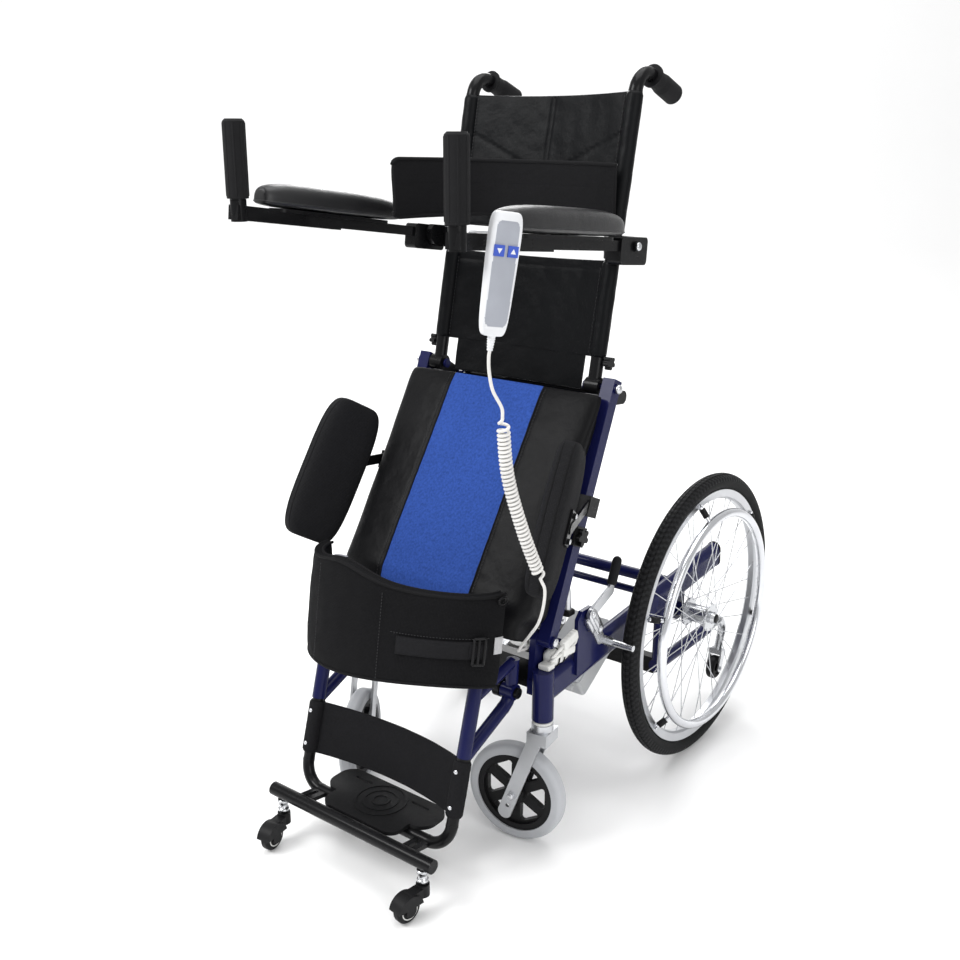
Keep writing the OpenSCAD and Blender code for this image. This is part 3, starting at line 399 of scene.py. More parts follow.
def weave(name, colour, pitch, dark=0.35, light=1.2, depth=0.5, shine=0.12, mottle=0.5):
    """Spacer mesh: staggered holes in a knitted face, laid out on the piece's metre UVs."""
    look = Look(name, colour, 0.85, Specular_IOR_Level=shine)
    xyz = look.node("ShaderNodeSeparateXYZ", {0: look.places("UV")}).outputs
    k = math.tau / pitch
    a = look.calc("SINE", look.times(look.plus(xyz[0], xyz[1]), k * 0.7))
    b = look.calc("SINE", look.times(look.minus(xyz[0], xyz[1]), k * 0.7))
    holes = look.times(a, b)
    fuzz = look.noise(700, 3)
    height = look.plus(look.spread(holes, 0, 1, -1, 1), look.times(fuzz, 0.35))
    patches = look.times(look.noise(7, 4), 0.3)
    # The holes are painted darker than the knitted face between them: painted shade in the holes. The patches
    # and the mottle are random tone.
    shade = look.plus(look.times(height, 0.62), patches)
    uneven = look.times(look.minus(look.noise(240, 3), 0.5), mottle)
    look.tint(look.plus(shade, uneven), dark, light)
    return look.bump(height, depth, 0.0007).mat


def tread(name, side):
    """Black rubber with block rows across the tread, set by the turn about the axle."""
    look = Look(name, (0.0078, 0.0080, 0.0086), 0.62, Specular_IOR_Level=0.12)
    xyz = look.node("ShaderNodeSeparateXYZ", {0: look.places()}).outputs
    y = look.minus(xyz[1], AXLE_Y / 1000)
    z = look.minus(xyz[2], AXLE_Z / 1000)
    turn = look.calc("ARCTAN2", z, y)
    out = look.calc("ABSOLUTE", look.minus(xyz[0], side * WHEEL_X / 1000))
    row = look.calc("FLOOR", look.times(out, 150))
    shift = look.plus(look.times(out, 160), look.times(row, 2.1))
    phase = look.plus(look.times(turn, 150), shift)
    block = look.spread(look.calc("SINE", phase), 0, 1, -0.35, 0.35)
    radius = look.calc("SQRT", look.plus(look.times(y, y), look.times(z, z)))
    on_tread = look.spread(radius, 0, 1, 0.2905, 0.2925)
    wall = look.calc("SINE", look.times(radius, 2600))
    on_wall = look.times(look.minus(1, on_tread), 0.12)
    height = look.plus(look.times(block, on_tread), look.times(wall, on_wall))
    dust = look.times(look.noise(40, 4), 0.3)
    # The colour follows the relief: the grooves between the blocks and the low rings of the sidewall are
    # painted darker than the raised parts, as painted shade in the recesses. The dust is random tone.
    look.tint(look.plus(look.times(height, 0.7), dust), 0.5, 1.9)
    return look.bump(height, 0.9, 0.0016).mat


def foam(name, colour):
    look = Look(name, colour, 0.8, Specular_IOR_Level=0.18)
    look.tint(look.noise(30, 5), 0.75, 1.3)
    return look.bump(look.cells(900), 0.35, 0.0006).mat


def two_tone(name, low, high, axis, level, shiny=1.0):
    """One colour below a level on an axis of the part, metal if shiny, and a plain one above it."""
    look = Look(name, low, 0.3, shiny)
    place = look.node("ShaderNodeSeparateXYZ", {0: look.places()}).outputs[axis]
    above = look.calc("GREATER_THAN", place, level)
    look.mix(above, low, high)
    if shiny:
        look.tree.links.new(look.minus(1, above), look.shader.inputs["Metallic"])
    look.rough(look.noise(80, 4), 0.22, 0.42)
    return look.bump(look.cells(1100), 0.08, 0.0003).mat


frame_blue = paint("frame_blue", (0.0072, 0.0088, 0.054))
frame_black = paint("frame_black", (0.0046, 0.0046, 0.0052), 0.26)
black_plastic = plastic("black_plastic", (0.0075, 0.0075, 0.0082), shine=0.16)
foot_plastic = plastic("foot_plastic", (0.0062, 0.0062, 0.0068), 0.5, 0.22, 0.14)
box_grey = two_tone("box_grey", (0.006, 0.006, 0.007), (0.46, 0.47, 0.48), 1, -0.112, 0)
wire_white = plastic("wire_white", (0.66, 0.66, 0.64), 0.38, 0.05)
cord_white = plastic("cord_white", (0.66, 0.65, 0.63), 0.36, 0.04)
bright_steel = metal("bright_steel", (0.60, 0.61, 0.63), 0.24)
fork_alloy = metal("fork_alloy", (0.56, 0.57, 0.59), 0.36)
rim_alloy = metal("rim_alloy", (0.58, 0.59, 0.61), 0.30)
handrim_chrome = metal("handrim_chrome", (0.70, 0.71, 0.74), 0.13)
lever_finish = two_tone("lever_finish", (0.55, 0.56, 0.58), (0.006, 0.006, 0.007), 2, 0.479)
tyre_left = tread("tyre_left", 1)
tyre_right = tread("tyre_right", -1)
caster_grey = plastic("caster_grey", (0.40, 0.41, 0.43), 0.5, 0.14)
wheel_black = plastic("wheel_black", (0.0075, 0.0075, 0.0085), 0.5, shine=0.14)
seat_leather = leather("seat_leather", (0.0040, 0.0040, 0.0046), 0.34, 0.085, 0.7)
back_leather = leather("back_leather", (0.0040, 0.0043, 0.0050), 0.34, 0.075, 0.65)
arm_leather = leather("arm_leather", (0.0095, 0.0095, 0.0105), 0.30, 0.42)
seat_blue = weave("seat_blue", (0.0245, 0.063, 0.265), 0.0032, 0.58, 1.30, 0.40, 0.08, mottle=1.4)
pad_fabric = weave("pad_fabric", (0.0072, 0.0072, 0.0080), 0.0036, 0.3, 2.2, 0.8)
knee_fabric = weave("knee_fabric", (0.0040, 0.0040, 0.0045), 0.0036, 0.3, 2.2, 0.8, 0.08)
belt_fabric = weave("belt_fabric", (0.0050, 0.0050, 0.0056), 0.0028, 0.4, 2.0, 0.6)
webbing = weave("webbing", (0.0060, 0.0060, 0.0068), 0.0024, 0.4, 2.4, 0.7)
binding = weave("binding", (0.0064, 0.0064, 0.0070), 0.0018, 0.5, 1.6, 0.5)
foam_black = foam("foam_black", (0.0070, 0.0070, 0.0078))
pale_thread = plastic("pale_thread", (0.20, 0.20, 0.20), 0.7)
dark_thread = plastic("dark_thread", (0.020, 0.020, 0.022), 0.7)
handset_white = plastic("handset_white", (0.66, 0.67, 0.69), 0.34, 0.05)
handset_face = plastic("handset_face", (0.31, 0.325, 0.365), 0.42, 0.06)
button_blue = plastic("button_blue", (0.030, 0.075, 0.42), 0.36, 0.04)
tag_grey = weave("tag_grey", (0.42, 0.42, 0.43), 0.0016, 0.7, 1.2, 0.3)

# Finish of each CAD node that is shown: material, the record's slot, and names with * for left and right
FINISH = [
    (frame_blue, "frame_blue", "side_frame_* seat_frame back_links leg_frame"),
    (frame_black, "frame_black", "cross_beams backrest_frame pad_brackets arm_* footrest_frame"),
    (lever_finish, "black_plastic", "brake_lever_*"),
    (black_plastic, "black_plastic", "frame_end_caps actuator_body back_knobs caster_core_* foot_caster_*"),
    (foot_plastic, "black_plastic", "footplate"),
    (box_grey, "box_grey", "control_box"),
    (bright_steel, "bright_steel", "anti_tip_tubes rear_spokes_* brake_shoe_* actuator_rod"),
    (fork_alloy, "bright_steel", "caster_fork_*"),
    (tyre_left, "tyre_black", "rear_tyre_left"),
    (tyre_right, "tyre_black", "rear_tyre_right"),
    (rim_alloy, "rim_alloy", "rear_rim_*"),
    (handrim_chrome, "handrim_chrome", "handrim_*"),
    (caster_grey, "caster_grey", "caster_tyre_*"),
    (wheel_black, "wheel_black", "anti_tip_wheel_* foot_wheel_*"),
    (foam_black, "foam_black", "push_grips arm_grip_*"),
    (button_blue, "button_blue", "button_up button_down"),
]
for look, slot, names in FINISH:
    for name in names.split():
        for _, tag in SIDES if "*" in name else SIDES[:1]:
            node = nodes[name.replace("*", tag)]
            node.data.materials.clear()
            node.data.materials.append(look)

# Camera
camera = bpy.data.objects.new("camera", bpy.data.cameras.new("camera"))
scene.collection.objects.link(camera)
camera.data.lens = 41.74
camera.data.sensor_width = 36
camera.data.clip_start = 0.05
camera.location = at(1235, -2004, 1275)
azimuth, pitch = math.radians(37.69), math.radians(17.19)
level = math.cos(pitch)
view = Vector((-math.sin(azimuth) * level, math.cos(azimuth) * level, -math.sin(pitch)))
camera.rotation_euler = view.to_track_quat("-Z", "Y").to_euler()
scene.camera = camera

# Cord from the hand control: straight lead, coil and lower lead
CORD_R = 0.0026
UPPER = [(259.75, -718.64, 974.08), (259.1, -719.87, 964.18), (260.2, -720.4, 944), (263.6, -716, 915),
         (267.8, -699.2, 886), (268, -697, 870)]
COIL = [(268, -697, 870), (271, -687, 778), (287, -669, 688), (306, -642, 598)]
LOWER = [(306, -642, 598), (309.6, -636.9, 581), (304, -632, 549), (280, -611, 505), (243, -582, 462),
         (216, -562, 432), (205, -556, 417), (196, -548, 406), (188, -530, 399), (183, -505, 391),
         (174, -474, 389), (158, -457, 386), (148, -450, 379), (148, -450, 372)]
TURNS, OPEN_TURNS, COIL_R, PER_TURN = 42, 4, 8.2, 20


def coil_path():
    """Points of the wound part: a helix on the route, which opens and draws in towards each end."""
    total = TURNS * PER_TURN
    spine = spline(COIL, total // (len(COIL) - 1))
    n = len(spine) - 1
    out = []
    for k, p in enumerate(spine):
        ahead = (spine[min(n, k + 3)] - spine[max(0, k - 3)]).normalized()
        side = ahead.cross(Vector((1, 0.2, 0))).normalized()
        turn, radius = TURNS * k / n, COIL_R
        for sign, left in ((-1, TURNS * k / n), (1, TURNS - TURNS * k / n)):
            if left < OPEN_TURNS:
                turn += sign * (left - left * left / (2 * OPEN_TURNS) - OPEN_TURNS / 2)
            u = min(1, 2 * left / OPEN_TURNS)
            radius *= u * u * (3 - 2 * u)
        a = math.tau * turn
        out.append(p + radius * (math.cos(a) * side + math.sin(a) * ahead.cross(side)))
    return out


def make_cord(name, points, sides):
    path = [at(*p) for p in points]
    obj = tube(name, path, CORD_R, cord_white, sides)
    path[0]
    path[-1]
    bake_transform(obj)
    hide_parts(name.replace("wire", "cord"))
    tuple(path[0])
    steps(path)[-1]


make_cord("wire_upper", spline(UPPER, 10), 14)
make_cord("wire_coil", coil_path(), 10)
make_cord("wire_lower", spline(LOWER, 8), 14)


# Seat cushion: blue knitted stripe between black bolsters, thick at the knees and thin at the hips
SEAM_X, CUSHION_MIDDLE, CUSHION_HALF = 105, 217, 229
CUSHION_LOW, CUSHION_HIGH, CREST = -3.6, 114, 52


def cushion_s(t):
    """Place up the seat of a share from -1 at the knee end to 1 at the hip end."""
    return CUSHION_MIDDLE + signed_power(t, 0.8) * CUSHION_HALF


def cushion_top(s):
    """Upper face, which is highest at a crest near the knees."""
    if s < CREST:
        return CUSHION_HIGH - ((CREST - s) / 64) ** 2 * 14
    return CUSHION_HIGH - 63 * (s - CREST) / 382


def cushion_wide(t, e, s, n):
    """Half width at a depth: narrow between the rails and wider where it lies over them."""
    over = min(1, max(0, (n - 19) / 9))
    foot = (200 - 5 * (1 - t * t)) * (0.9 + 0.1 * e) * (1 - 0.1 * math.exp(-(((s + 12) / 40) ** 4)))
    return foot * (1 + 0.12 * over * over * (3 - 2 * over))


def cushion_point(t, turn):
    e = bulge(t * 0.999, 7)
    s = cushion_s(t)
    high = cushion_top(s)
    half = (high - CUSHION_LOW) / 2 * (0.55 + 0.45 * e)
    q = squircle(turn, 5)
    n = (high + CUSHION_LOW) / 2 + half * q[1]
    x = cushion_wide(t, e, s, n) * q[0]
    if q[1] > 0.3:
        seam = math.exp(-(((abs(x) - SEAM_X) / 3.0) ** 2))
        beside = math.exp(-(((abs(x) - (SEAM_X + 13)) / 16) ** 2))
        pucker = beside * math.sin(s / 6.5 + 2 * wave(x, s, 3, 40))
        crown = 3 - 3 * q[0] ** 2
        n += (crown - 3.2 * seam + 0.5 * pucker + 1.3 * wave(x, s, n, 70)) * e
    else:
        x += 1.2 * wave(x, s, n, 45) * e
    return seat_axes(x, -max(n, CUSHION_LOW), s), x, q[1]


ROWS, COLS = 110, 200
grid = [[cushion_point(math.sin(math.pi / 2 * (-1 + 2 * i / ROWS)), j / COLS) for j in range(COLS)]
        for i in range(ROWS + 1)]


def in_stripe(i, j):
    x = (grid[i][j][1] + grid[i][(j + 1) % COLS][1]) / 2
    return int(abs(x) < SEAM_X - 0.5 and grid[i][j][2] > 0.3)


cushion = loft("cushion", [[p[0] for p in ring] for ring in grid], [seat_leather, seat_blue], pick=in_stripe)
ride(cushion, "seat", "seat_blue", "seat_cushion")


def cushion_line(x, t0, t1, lift, count=160):
    """Route on the cushion's upper face at a distance from its middle."""
    out = []
    for k in range(count + 1):
        t = t0 + (t1 - t0) * k / count
        s = cushion_s(t)
        wide = cushion_wide(t, bulge(t * 0.999, 7), s, 40)
        turn = math.acos(min(1, abs(x) / wide) ** 2.5) / math.tau
        p = cushion_point(t, turn if x > 0 else 0.5 - turn)[0]
        out.append(p + (seat_axes(0, -lift, s) - seat_axes(0, 0, s)))
    return out


seams = [cushion_line(side * SEAM_X, -0.985, 0.985, 1.2) for side in (-1, 1)]
ride(several("cushion_piping", [tube_rings(s, 0.0016, 8) for s in seams], binding), "seat", "seat_blue")
stitches = []
for side in (-1, 1):
    stitches += thread(cushion_line(side * (SEAM_X + 7), -0.97, 0.97, 0.5), 0.0062, 0.0005)
ride(several("cushion_stitches", stitches, dark_thread), "seat", "seat_blue")


# Thigh pads: knitted cover with two bound seams round the side
PAD_THICK, PAD_WIDE, PAD_LONG = 23, 60, 140
LEFT_KNEE_END = 123


def pad_point(t, turn, side):
    """Point of a pad. The left one ends short of the cord, which hangs there when the chair is low."""
    e = bulge(t, 3.4)
    q = squircle(turn, 4)
    x = PAD_THICK * q[0] * (0.45 + 0.55 * e)
    y = PAD_WIDE * q[1] * (0.35 + 0.65 * e)
    x += 0.7 * wave(x, y, PAD_LONG * t, 36) * e * (x < 0)
    return x, y, (LEFT_KNEE_END if side > 0 and t < 0 else PAD_LONG) * t


for side, tag in SIDES:
    place = thigh_axes(side)
    rings = [[place(*pad_point(-math.cos(math.pi * i / 70), j / 72, side)) for j in range(72)]
             for i in range(71)]
    pad = loft(f"thigh_pad_{tag}", rings, pad_fabric)
    stands_for = ["thigh_pads"] if side > 0 else []  # one node has both
    ride(pad, "seat", "pad_fabric", *stands_for)
    outline = [pad_point(-math.cos(math.pi * i / 60), 0.25, side) for i in range(61)]
    outline += [pad_point(math.cos(math.pi * i / 60), 0.75, side) for i in range(1, 60)]
    for offset, kind in ((9, "front"), (-9, "back")):
        seam = [place(x + offset, y * 0.985, z * 0.985) for x, y, z in outline]
        welt = tube(f"thigh_pad_seam_{kind}_{tag}", seam, 0.0017, binding, 8, loop=True)
        ride(welt, "seat", "pad_fabric")


# Backrest: an upper and a lower slung panel on sleeves round the canes, and a skirt below
CANE_X, SLING_HALF, SLEEVE_EDGE, SLEEVE_SIDES = 182, 178, 164, 28
UPPER_PANEL, LOWER_PANEL = (277, 521), (52, 224)
UPPER_SAG, LOWER_SAG = 22, 30


def sling_y(x, sag, half=SLING_HALF):
    """Depth of a slung panel, an arc with the given sag in its middle."""
    r = (half * half + sag * sag) / (2 * sag)
    return sag - r + math.sqrt(max(0, r * r - x * x))


def panel(name, z0, z1, sag, thick, dent, *stands_for, half=176, rows=70, cols=120):
    """Panel between the canes. dent gives the depth of its seams and folds at a point."""
    rings = []
    for i in range(rows + 1):
        u = i / rows
        z = z0 + (z1 - z0) * (0.5 - 0.5 * math.cos(math.pi * u))
        edge = bulge(2 * u - 1, 8)
        ring = []
        for face in (-1, 1):
            for j in range(cols + 1):
                x = -face * half * math.cos(math.pi * j / cols)
                near = (1 - (x / half) ** 8) ** 0.5 * 0.7 + 0.3
                y = sling_y(x, sag) + face * thick / 2 * (0.25 + 0.75 * edge) * near
                y += (1 if face < 0 else 0.4) * dent(x, z) * edge
                ring.append(back_axes(x, y, z))
        rings.append(ring)
    ride(loft(name, rings, back_leather), "backrest", "back_leather", *stands_for)


def upper_dent(x, z):
    seam = 3.2 * math.exp(-((x / 2.6) ** 2))
    slope = 400 + (abs(x) - 60) * 0.45
    vee = 2.2 * math.exp(-(((z - slope) / 3.0) ** 2)) if 45 < abs(x) < 168 else 0
    puff = -3.5 * (1 - min(1, abs(abs(x) - 88) / 88) ** 2)
    folds = 1.6 * wave(x * 1.6, z * 0.5, 7, 46) + wave(x, z, 4, 24) * math.exp(-((x / 50) ** 2))
    return seam + vee + puff + folds


def lower_dent(x, z):
    hem = 1.6 * math.exp(-(((z - 210) / 2.5) ** 2))
    return hem + 1.8 * wave(x * 1.4, z * 0.35, 2, 60) + 0.7 * wave(x, z, 9, 22)


def skirt_dent(x, z):
    return 1.2 * wave(x, z, 5, 40)


panel("back_panel", *UPPER_PANEL, UPPER_SAG, 12, upper_dent, "back_upholstery")
panel("back_lower", *LOWER_PANEL, LOWER_SAG, 8, lower_dent, rows=60)
panel("back_skirt", -10, 55, LOWER_SAG, 7, skirt_dent, half=150, rows=24)


def sleeve(place, x0, z0, z1, radius, rows, folds):
    """Rings of a sleeve round a tube. folds gives its unevenness at a height and a step round it."""
    rings = []
    for i in range(rows + 1):
        z = z0 + (z1 - z0) * i / rows
        usual = radius + 2.2 * bulge(2 * i / rows - 1, 10)
        ring = []
        for j in range(SLEEVE_SIDES):
            a, r = math.tau * j / SLEEVE_SIDES, usual + folds(z, j)
            ring.append(place(x0 + r * math.cos(a), r * math.sin(a), z))
        rings.append(ring)
    return rings


def back_folds(z, j):
    a = math.tau * j / SLEEVE_SIDES
    return 0.5 * wave(z, 20 * math.cos(a), 20 * math.sin(a), 18)


sleeves, sleeve_stitches = [], []
for side in (-1, 1):
    for z0, z1 in (LOWER_PANEL, UPPER_PANEL):
        sleeves.append(sleeve(back_axes, side * CANE_X, z0, z1, 13.2, 40, back_folds))
        depth = sling_y(SLEEVE_EDGE, UPPER_SAG) - 7.6
        row = [back_axes(side * SLEEVE_EDGE, depth, z0 + 6 + k * (z1 - z0 - 12) / 60) for k in range(61)]
        sleeve_stitches += thread(row, 0.0065, 0.0006)
ride(several("back_sleeves", sleeves, back_leather), "backrest", "back_leather")
ride(several("back_sleeve_stitches", sleeve_stitches, dark_thread), "backrest", "back_leather")
hems = []
for z, sag, forward in ((520.4, UPPER_SAG, 1.2), (277.6, UPPER_SAG, 1.2), (223.4, LOWER_SAG, 0.8)):
    hem = [back_axes(x, sling_y(x, sag) - forward, z) for x in range(-172, 173, 6)]
    hems.append(tube_rings(hem, 0.0026, 10))
ride(several("back_hems", hems, back_leather), "backrest", "back_leather")

# Chest belt: knitted band with an overlocked upper edge
BELT = [(190, -262), (160, -266), (120, -268), (40, -268), (-30, -274), (-80, -292), (-115, -325),
        (-135, -370), (-146, -420), (-150, -466)]
BELT_HIGH, BELT_LOW, BELT_RISE = 1226, 1133, 10
belt_route = spline([(x, y, 0) for x, y in BELT], 14)
belt_rings, upper_edge, lower_edge = [], [], []
last = len(belt_route) - 1
for i, p in enumerate(belt_route):
    u = i / last
    t = (belt_route[min(last, i + 1)] - belt_route[max(0, i - 1)]).normalized()
    n = Vector((-t.y, t.x, 0))
    corner = 10 * (1 - bulge(max(0, (u - 0.955) / 0.045), 2))
    top, low = BELT_HIGH + BELT_RISE * u - corner, BELT_LOW + corner
    ring = []
    for j in range(40):
        q = squircle(j / 40 + 0.0125, 3.0)
        h = (top - low) / 2
        ripple = 0.8 * wave(150 * u, 3 * q[1], 5, 9) * bulge(q[1], 4)
        mid = (top + low) / 2 + h * q[1]
        out = 4.0 * q[0] + ripple + 1.5 * math.sin(9 * u + 2.2 * q[1]) * u
        ring.append(at(p.x + n.x * out, p.y + n.y * out, mid))
    belt_rings.append(ring)
    shift = 1.5 * math.sin(9 * u + 2.2) * u
    upper_edge.append(at(p.x + n.x * shift, p.y + n.y * shift, top - 0.6))
    lower_edge.append(at(p.x + n.x * shift, p.y + n.y * shift, low + 0.6))
ride(loft("belt", belt_rings, belt_fabric), "backrest", "pad_fabric", "chest_belt")
edges = [tube_rings(upper_edge, 0.0042, 10), tube_rings(lower_edge, 0.0040, 10)]
ride(several("belt_binding", edges, binding), "backrest", "pad_fabric")
edge = [p + Vector((0, 0, 0.0034)) for p in upper_edge]
OVERLOCK = 0.0042
zigzag = []
run = steps(edge)
down = Vector((0, 0, 0.0032))
for k in range(int(run[-1] / OVERLOCK)):
    p, step = point_at(edge, run, k * OVERLOCK)
    t = step.normalized()
    n = Vector((t.y, -t.x, 0))
    stitch = [p + n * 0.0044 - down, p + n * 0.003 + t * 0.0006, p - n * 0.001 + t * 0.0014]
    zigzag.append(tube_rings(stitch, 0.00055, 6))
ride(several("belt_overlock", zigzag, pale_thread), "backrest", "pad_fabric")


# Knee pad: knitted band bowed in front of the knees, with binding and straps
KNEE_HALF, KNEE_DEEP, KNEE_Y, KNEE_HIGH, KNEE_LOW = 204, 112, -622, 540, 357


def knee_thick(u):
    return 11 + 3 * math.sin(math.pi * u)


def knee_centre(u, v):
    """Middle of the band at u along it and v from -1 at the lower to 1 at the upper edge."""
    a = math.radians(-90 + 180 * u)
    high = KNEE_HIGH + 8 * math.sin(math.pi * u) + 18 * math.exp(-(((u - 0.4) / 0.12) ** 2))
    rise = math.sin(min(math.pi / 2, math.radians(120 * u))) ** 4
    low = KNEE_LOW + 34 * rise - 16 * max(0, 4 * u - 3) ** 2
    z = (high + low) / 2 + (high - low) / 2 * v
    n = Vector((math.sin(a) * KNEE_DEEP, -math.cos(a) * KNEE_HALF, 0)).normalized()
    y = KNEE_Y - KNEE_DEEP * math.cos(a) + 0.16 * (z - 440)
    return Vector((KNEE_HALF * math.sin(a), y, z)), n


knee_rings = []
for i in range(121):
    u = i / 120
    ring = []
    for j in range(64):
        q = squircle(j / 64 + 0.01, 4)
        p, n = knee_centre(u, q[1])
        th = knee_thick(u) * bulge(2 * u - 1, 20)
        th *= 1 - 0.18 * math.exp(-((q[1] / 0.10) ** 2)) * (q[0] > 0)
        soft = 1.6 * wave(p.x, p.z, 3, 40) + 0.8 * wave(p.x, p.z, 8, 16)
        p = p + n * (th * q[0] + soft * abs(q[0]))
        ring.append(at(*p))
    knee_rings.append(ring)
knee = ride(loft("knee_band", knee_rings, knee_fabric), "legs", "pad_fabric", "knee_pad")
bands = []
for v in (-0.985, 0.985):
    for face in (-0.55, 0.55):
        line = []
        for i in range(91):
            p, n = knee_centre(i / 90, v)
            line.append(at(*(p + n * knee_thick(i / 90) * face)))
        bands.append(tube_rings(line, 0.0030, 10))
ride(several("knee_binding", bands, binding), "legs", "pad_fabric")


def on_knee(u, v, out):
    """Point on the band's front, so far outside its usual face."""
    p, n = knee_centre(u, v)
    return at(*(p + n * (knee_thick(u) + out)))


def patch(u0, u1, v0, v1, low, high, cols=24, rows=6):
    """Rings of a flat band laid on the knee band between two offsets."""
    rings = []
    for i in range(cols + 1):
        u = u0 + (u1 - u0) * i / cols
        shares = [j / rows for j in range(rows + 1)]
        front = [on_knee(u, v0 + (v1 - v0) * w, high + 0.5 * wave(60 * u, 5 * w, 2, 5)) for w in shares]
        back = [on_knee(u, v1 + (v0 - v1) * w, low) for w in shares]
        rings.append(front + back)
    return rings


def on_legs(obj, *stands_for):
    return ride(obj, "legs", "pad_fabric", *stands_for)


strap_parts = [patch(0.62, 0.91, -0.32, 0.06, 0.5, 4.2), patch(0.845, 0.91, -0.28, 0.02, 4.0, 6.6)]
on_legs(several("knee_strap", strap_parts, webbing))
BUCKLE_U, BUCKLE_V, BUCKLE_OUT = (0.858, 0.876, 0.898), (-0.42, 0.16), 7.5
bars = [[on_knee(u, BUCKLE_V[0] + 0.58 * k / 8, BUCKLE_OUT) for k in range(9)] for u in BUCKLE_U]
bars += [[on_knee(BUCKLE_U[0] + 0.04 * k / 6, v, BUCKLE_OUT) for k in range(7)] for v in BUCKLE_V]
on_legs(several("knee_buckle", [tube_rings(line, 0.0024, 10) for line in bars], black_plastic))
on_legs(several("knee_tag", [patch(0.945, 0.988, -0.24, 0.12, 1.0, 2.6, 6)], tag_grey))
ring = []
for k in range(32):
    a = math.tau * k / 32
    ring.append(on_knee(0.965 + 0.022 * math.cos(a), 0.90 + 0.07 * math.sin(a), 3.2))
on_legs(tube("knee_ring", ring, 0.0017, frame_black, 10, loop=True))
rows = [[on_knee(u, -0.92 + 1.84 * k / 40, 0.9) for k in range(41)] for u in (0.565, 0.30)]
rows.append([on_knee(0.60 + 0.32 * k / 60, 0.12, 1.2) for k in range(61)])
stitches = [one for row in rows for one in thread(row, 0.0055, 0.0006)]
on_legs(several("knee_stitches", stitches, dark_thread))

# Calf strap between the leg tubes
CALF_LOW, CALF_TALL, CALF_HALF, CALF_SAG = 62, 100, 172, 34
strap = []
for i in range(31):
    z = CALF_LOW + CALF_TALL * (0.5 - 0.5 * math.cos(math.pi * i / 30))
    end = bulge(2 * i / 30 - 1, 8)
    ring = []
    for face in (-1, 1):
        for j in range(91):
            x = -face * CALF_HALF * math.cos(math.pi * j / 90)
            y = sling_y(x, CALF_SAG, CALF_HALF + 1) + face * 2.5 * (0.3 + 0.7 * end)
            ring.append(leg_axes(x, y + 1.2 * wave(x, z, 2, 30) * end, z))
    strap.append(ring)
on_legs(loft("calf_band", strap, webbing), "calf_strap")


def calf_folds(z, j):
    return 0.3 * wave(z, j, 1, 9)


ends = CALF_LOW, CALF_LOW + CALF_TALL
sleeves = [sleeve(leg_axes, side * LEG_TUBE_X, *ends, 13.6, 24, calf_folds) for side in (-1, 1)]
on_legs(several("calf_sleeves", sleeves, webbing))

# Arm pads: moulded tops with a parting line near the base
ARM_X, ARM_PAD_HALF, ARM_PAD_WIDE = 232, 170, 31
ARM_PAD_LEVEL, ARM_PAD_ABOVE, ARM_PAD_BELOW = 24.3, 34, 10


def arm_pad(side, tag, tilt, start):
    """Pad of an arm raised by tilt degrees. start is the pad's rear end from the pivot."""
    arm_axes = leaning(ARM_PIVOT, tilt)
    middle = start - ARM_PAD_HALF

    def point(t, turn):
        e = bulge(t, 3)
        q = squircle(turn, 2.6)
        x = ARM_PAD_WIDE * q[0] * (0.3 + 0.7 * e)
        h = (ARM_PAD_ABOVE if q[1] > 0 else ARM_PAD_BELOW) * q[1] * (0.4 + 0.6 * e)
        y = ARM_PAD_HALF * t
        soft = 0.5 * wave(x, y, h, 40) * e
        return arm_axes(side * (ARM_X + x), middle + y, ARM_PAD_LEVEL + h + soft)

    rings = [[point(-math.cos(math.pi * i / 80), j / 64) for j in range(64)] for i in range(81)]
    pad = loft(f"arm_rest_{tag}", rings, arm_leather)
    ride(pad, f"arm_{tag}", "back_leather", f"arm_pad_{tag}")
    line = [point(-math.cos(math.pi * i / 60), 0.985) for i in range(61)]
    line += [point(math.cos(math.pi * i / 60), 0.515) for i in range(1, 60)]
    welt = tube(f"arm_rest_welt_{tag}", line, 0.0013, arm_leather, 8, loop=True)
    ride(welt, f"arm_{tag}", "back_leather")


arm_pad(1, "left", 5, -47)
arm_pad(-1, "right", 7.5, -97)


# Hand control: white shell, grey face, ribbed strain relief and hook
HANDSET_WIDE, HANDSET_THICK, HANDSET_HALF, HANDSET_COLS = 52, 24, 89, 72


def on_handset(obj, *stands_for):
    ride(obj, "arm_left", "handset_grey", *stands_for)


def handset_ring(t):
    e = bulge(t, 5)
    w = HANDSET_WIDE * (0.92 + 0.08 * t) * (0.3 + 0.7 * e) / 2
    d = HANDSET_THICK * (0.9 + 0.1 * t) * (0.4 + 0.6 * e) / 2
    ring = []
    for j in range(HANDSET_COLS):
        q = squircle((j + 0.5) / HANDSET_COLS, 4)
        x, y, z = w * q[0], d * q[1], HANDSET_HALF * t
        if y < -0.8 * d and abs(x) < 19 and -0.86 < t < 0.84:
            y += 0.7 * (1 - min(1, max(0, (abs(x) - 17) / 3)))
        ring.append((x, y, z))
    return ring


shell = [handset_ring(-math.cos(math.pi * i / 110)) for i in range(111)]


def face_of(i, j):
    """1 on the grey face, 0 on the white shell."""
    x = (shell[i][j][0] + shell[i][(j + 1) % HANDSET_COLS][0]) / 2
    y, z = shell[i][j][1], shell[i][j][2]
    half = 18.4 * (1 if abs(z) < 60 else bulge((abs(z) - 60) / 17, 3))
    return int(abs(x) < half and y < 0 and -76 < z < 75)


placed = [[handset_axes(*p) for p in ring] for ring in shell]
on_handset(loft("handset_shell", placed, [handset_white, handset_face], pick=face_of), "handset")
relief = []
for k in range(27):
    r = 6.5 - 2.5 * k / 26 + (0.5 if k % 4 < 2 else -0.35)
    relief.append((-85 - k, max(r, 3.2)))
on_handset(loft("strain_relief", turned_profile(handset_axes, "z", relief), handset_white))


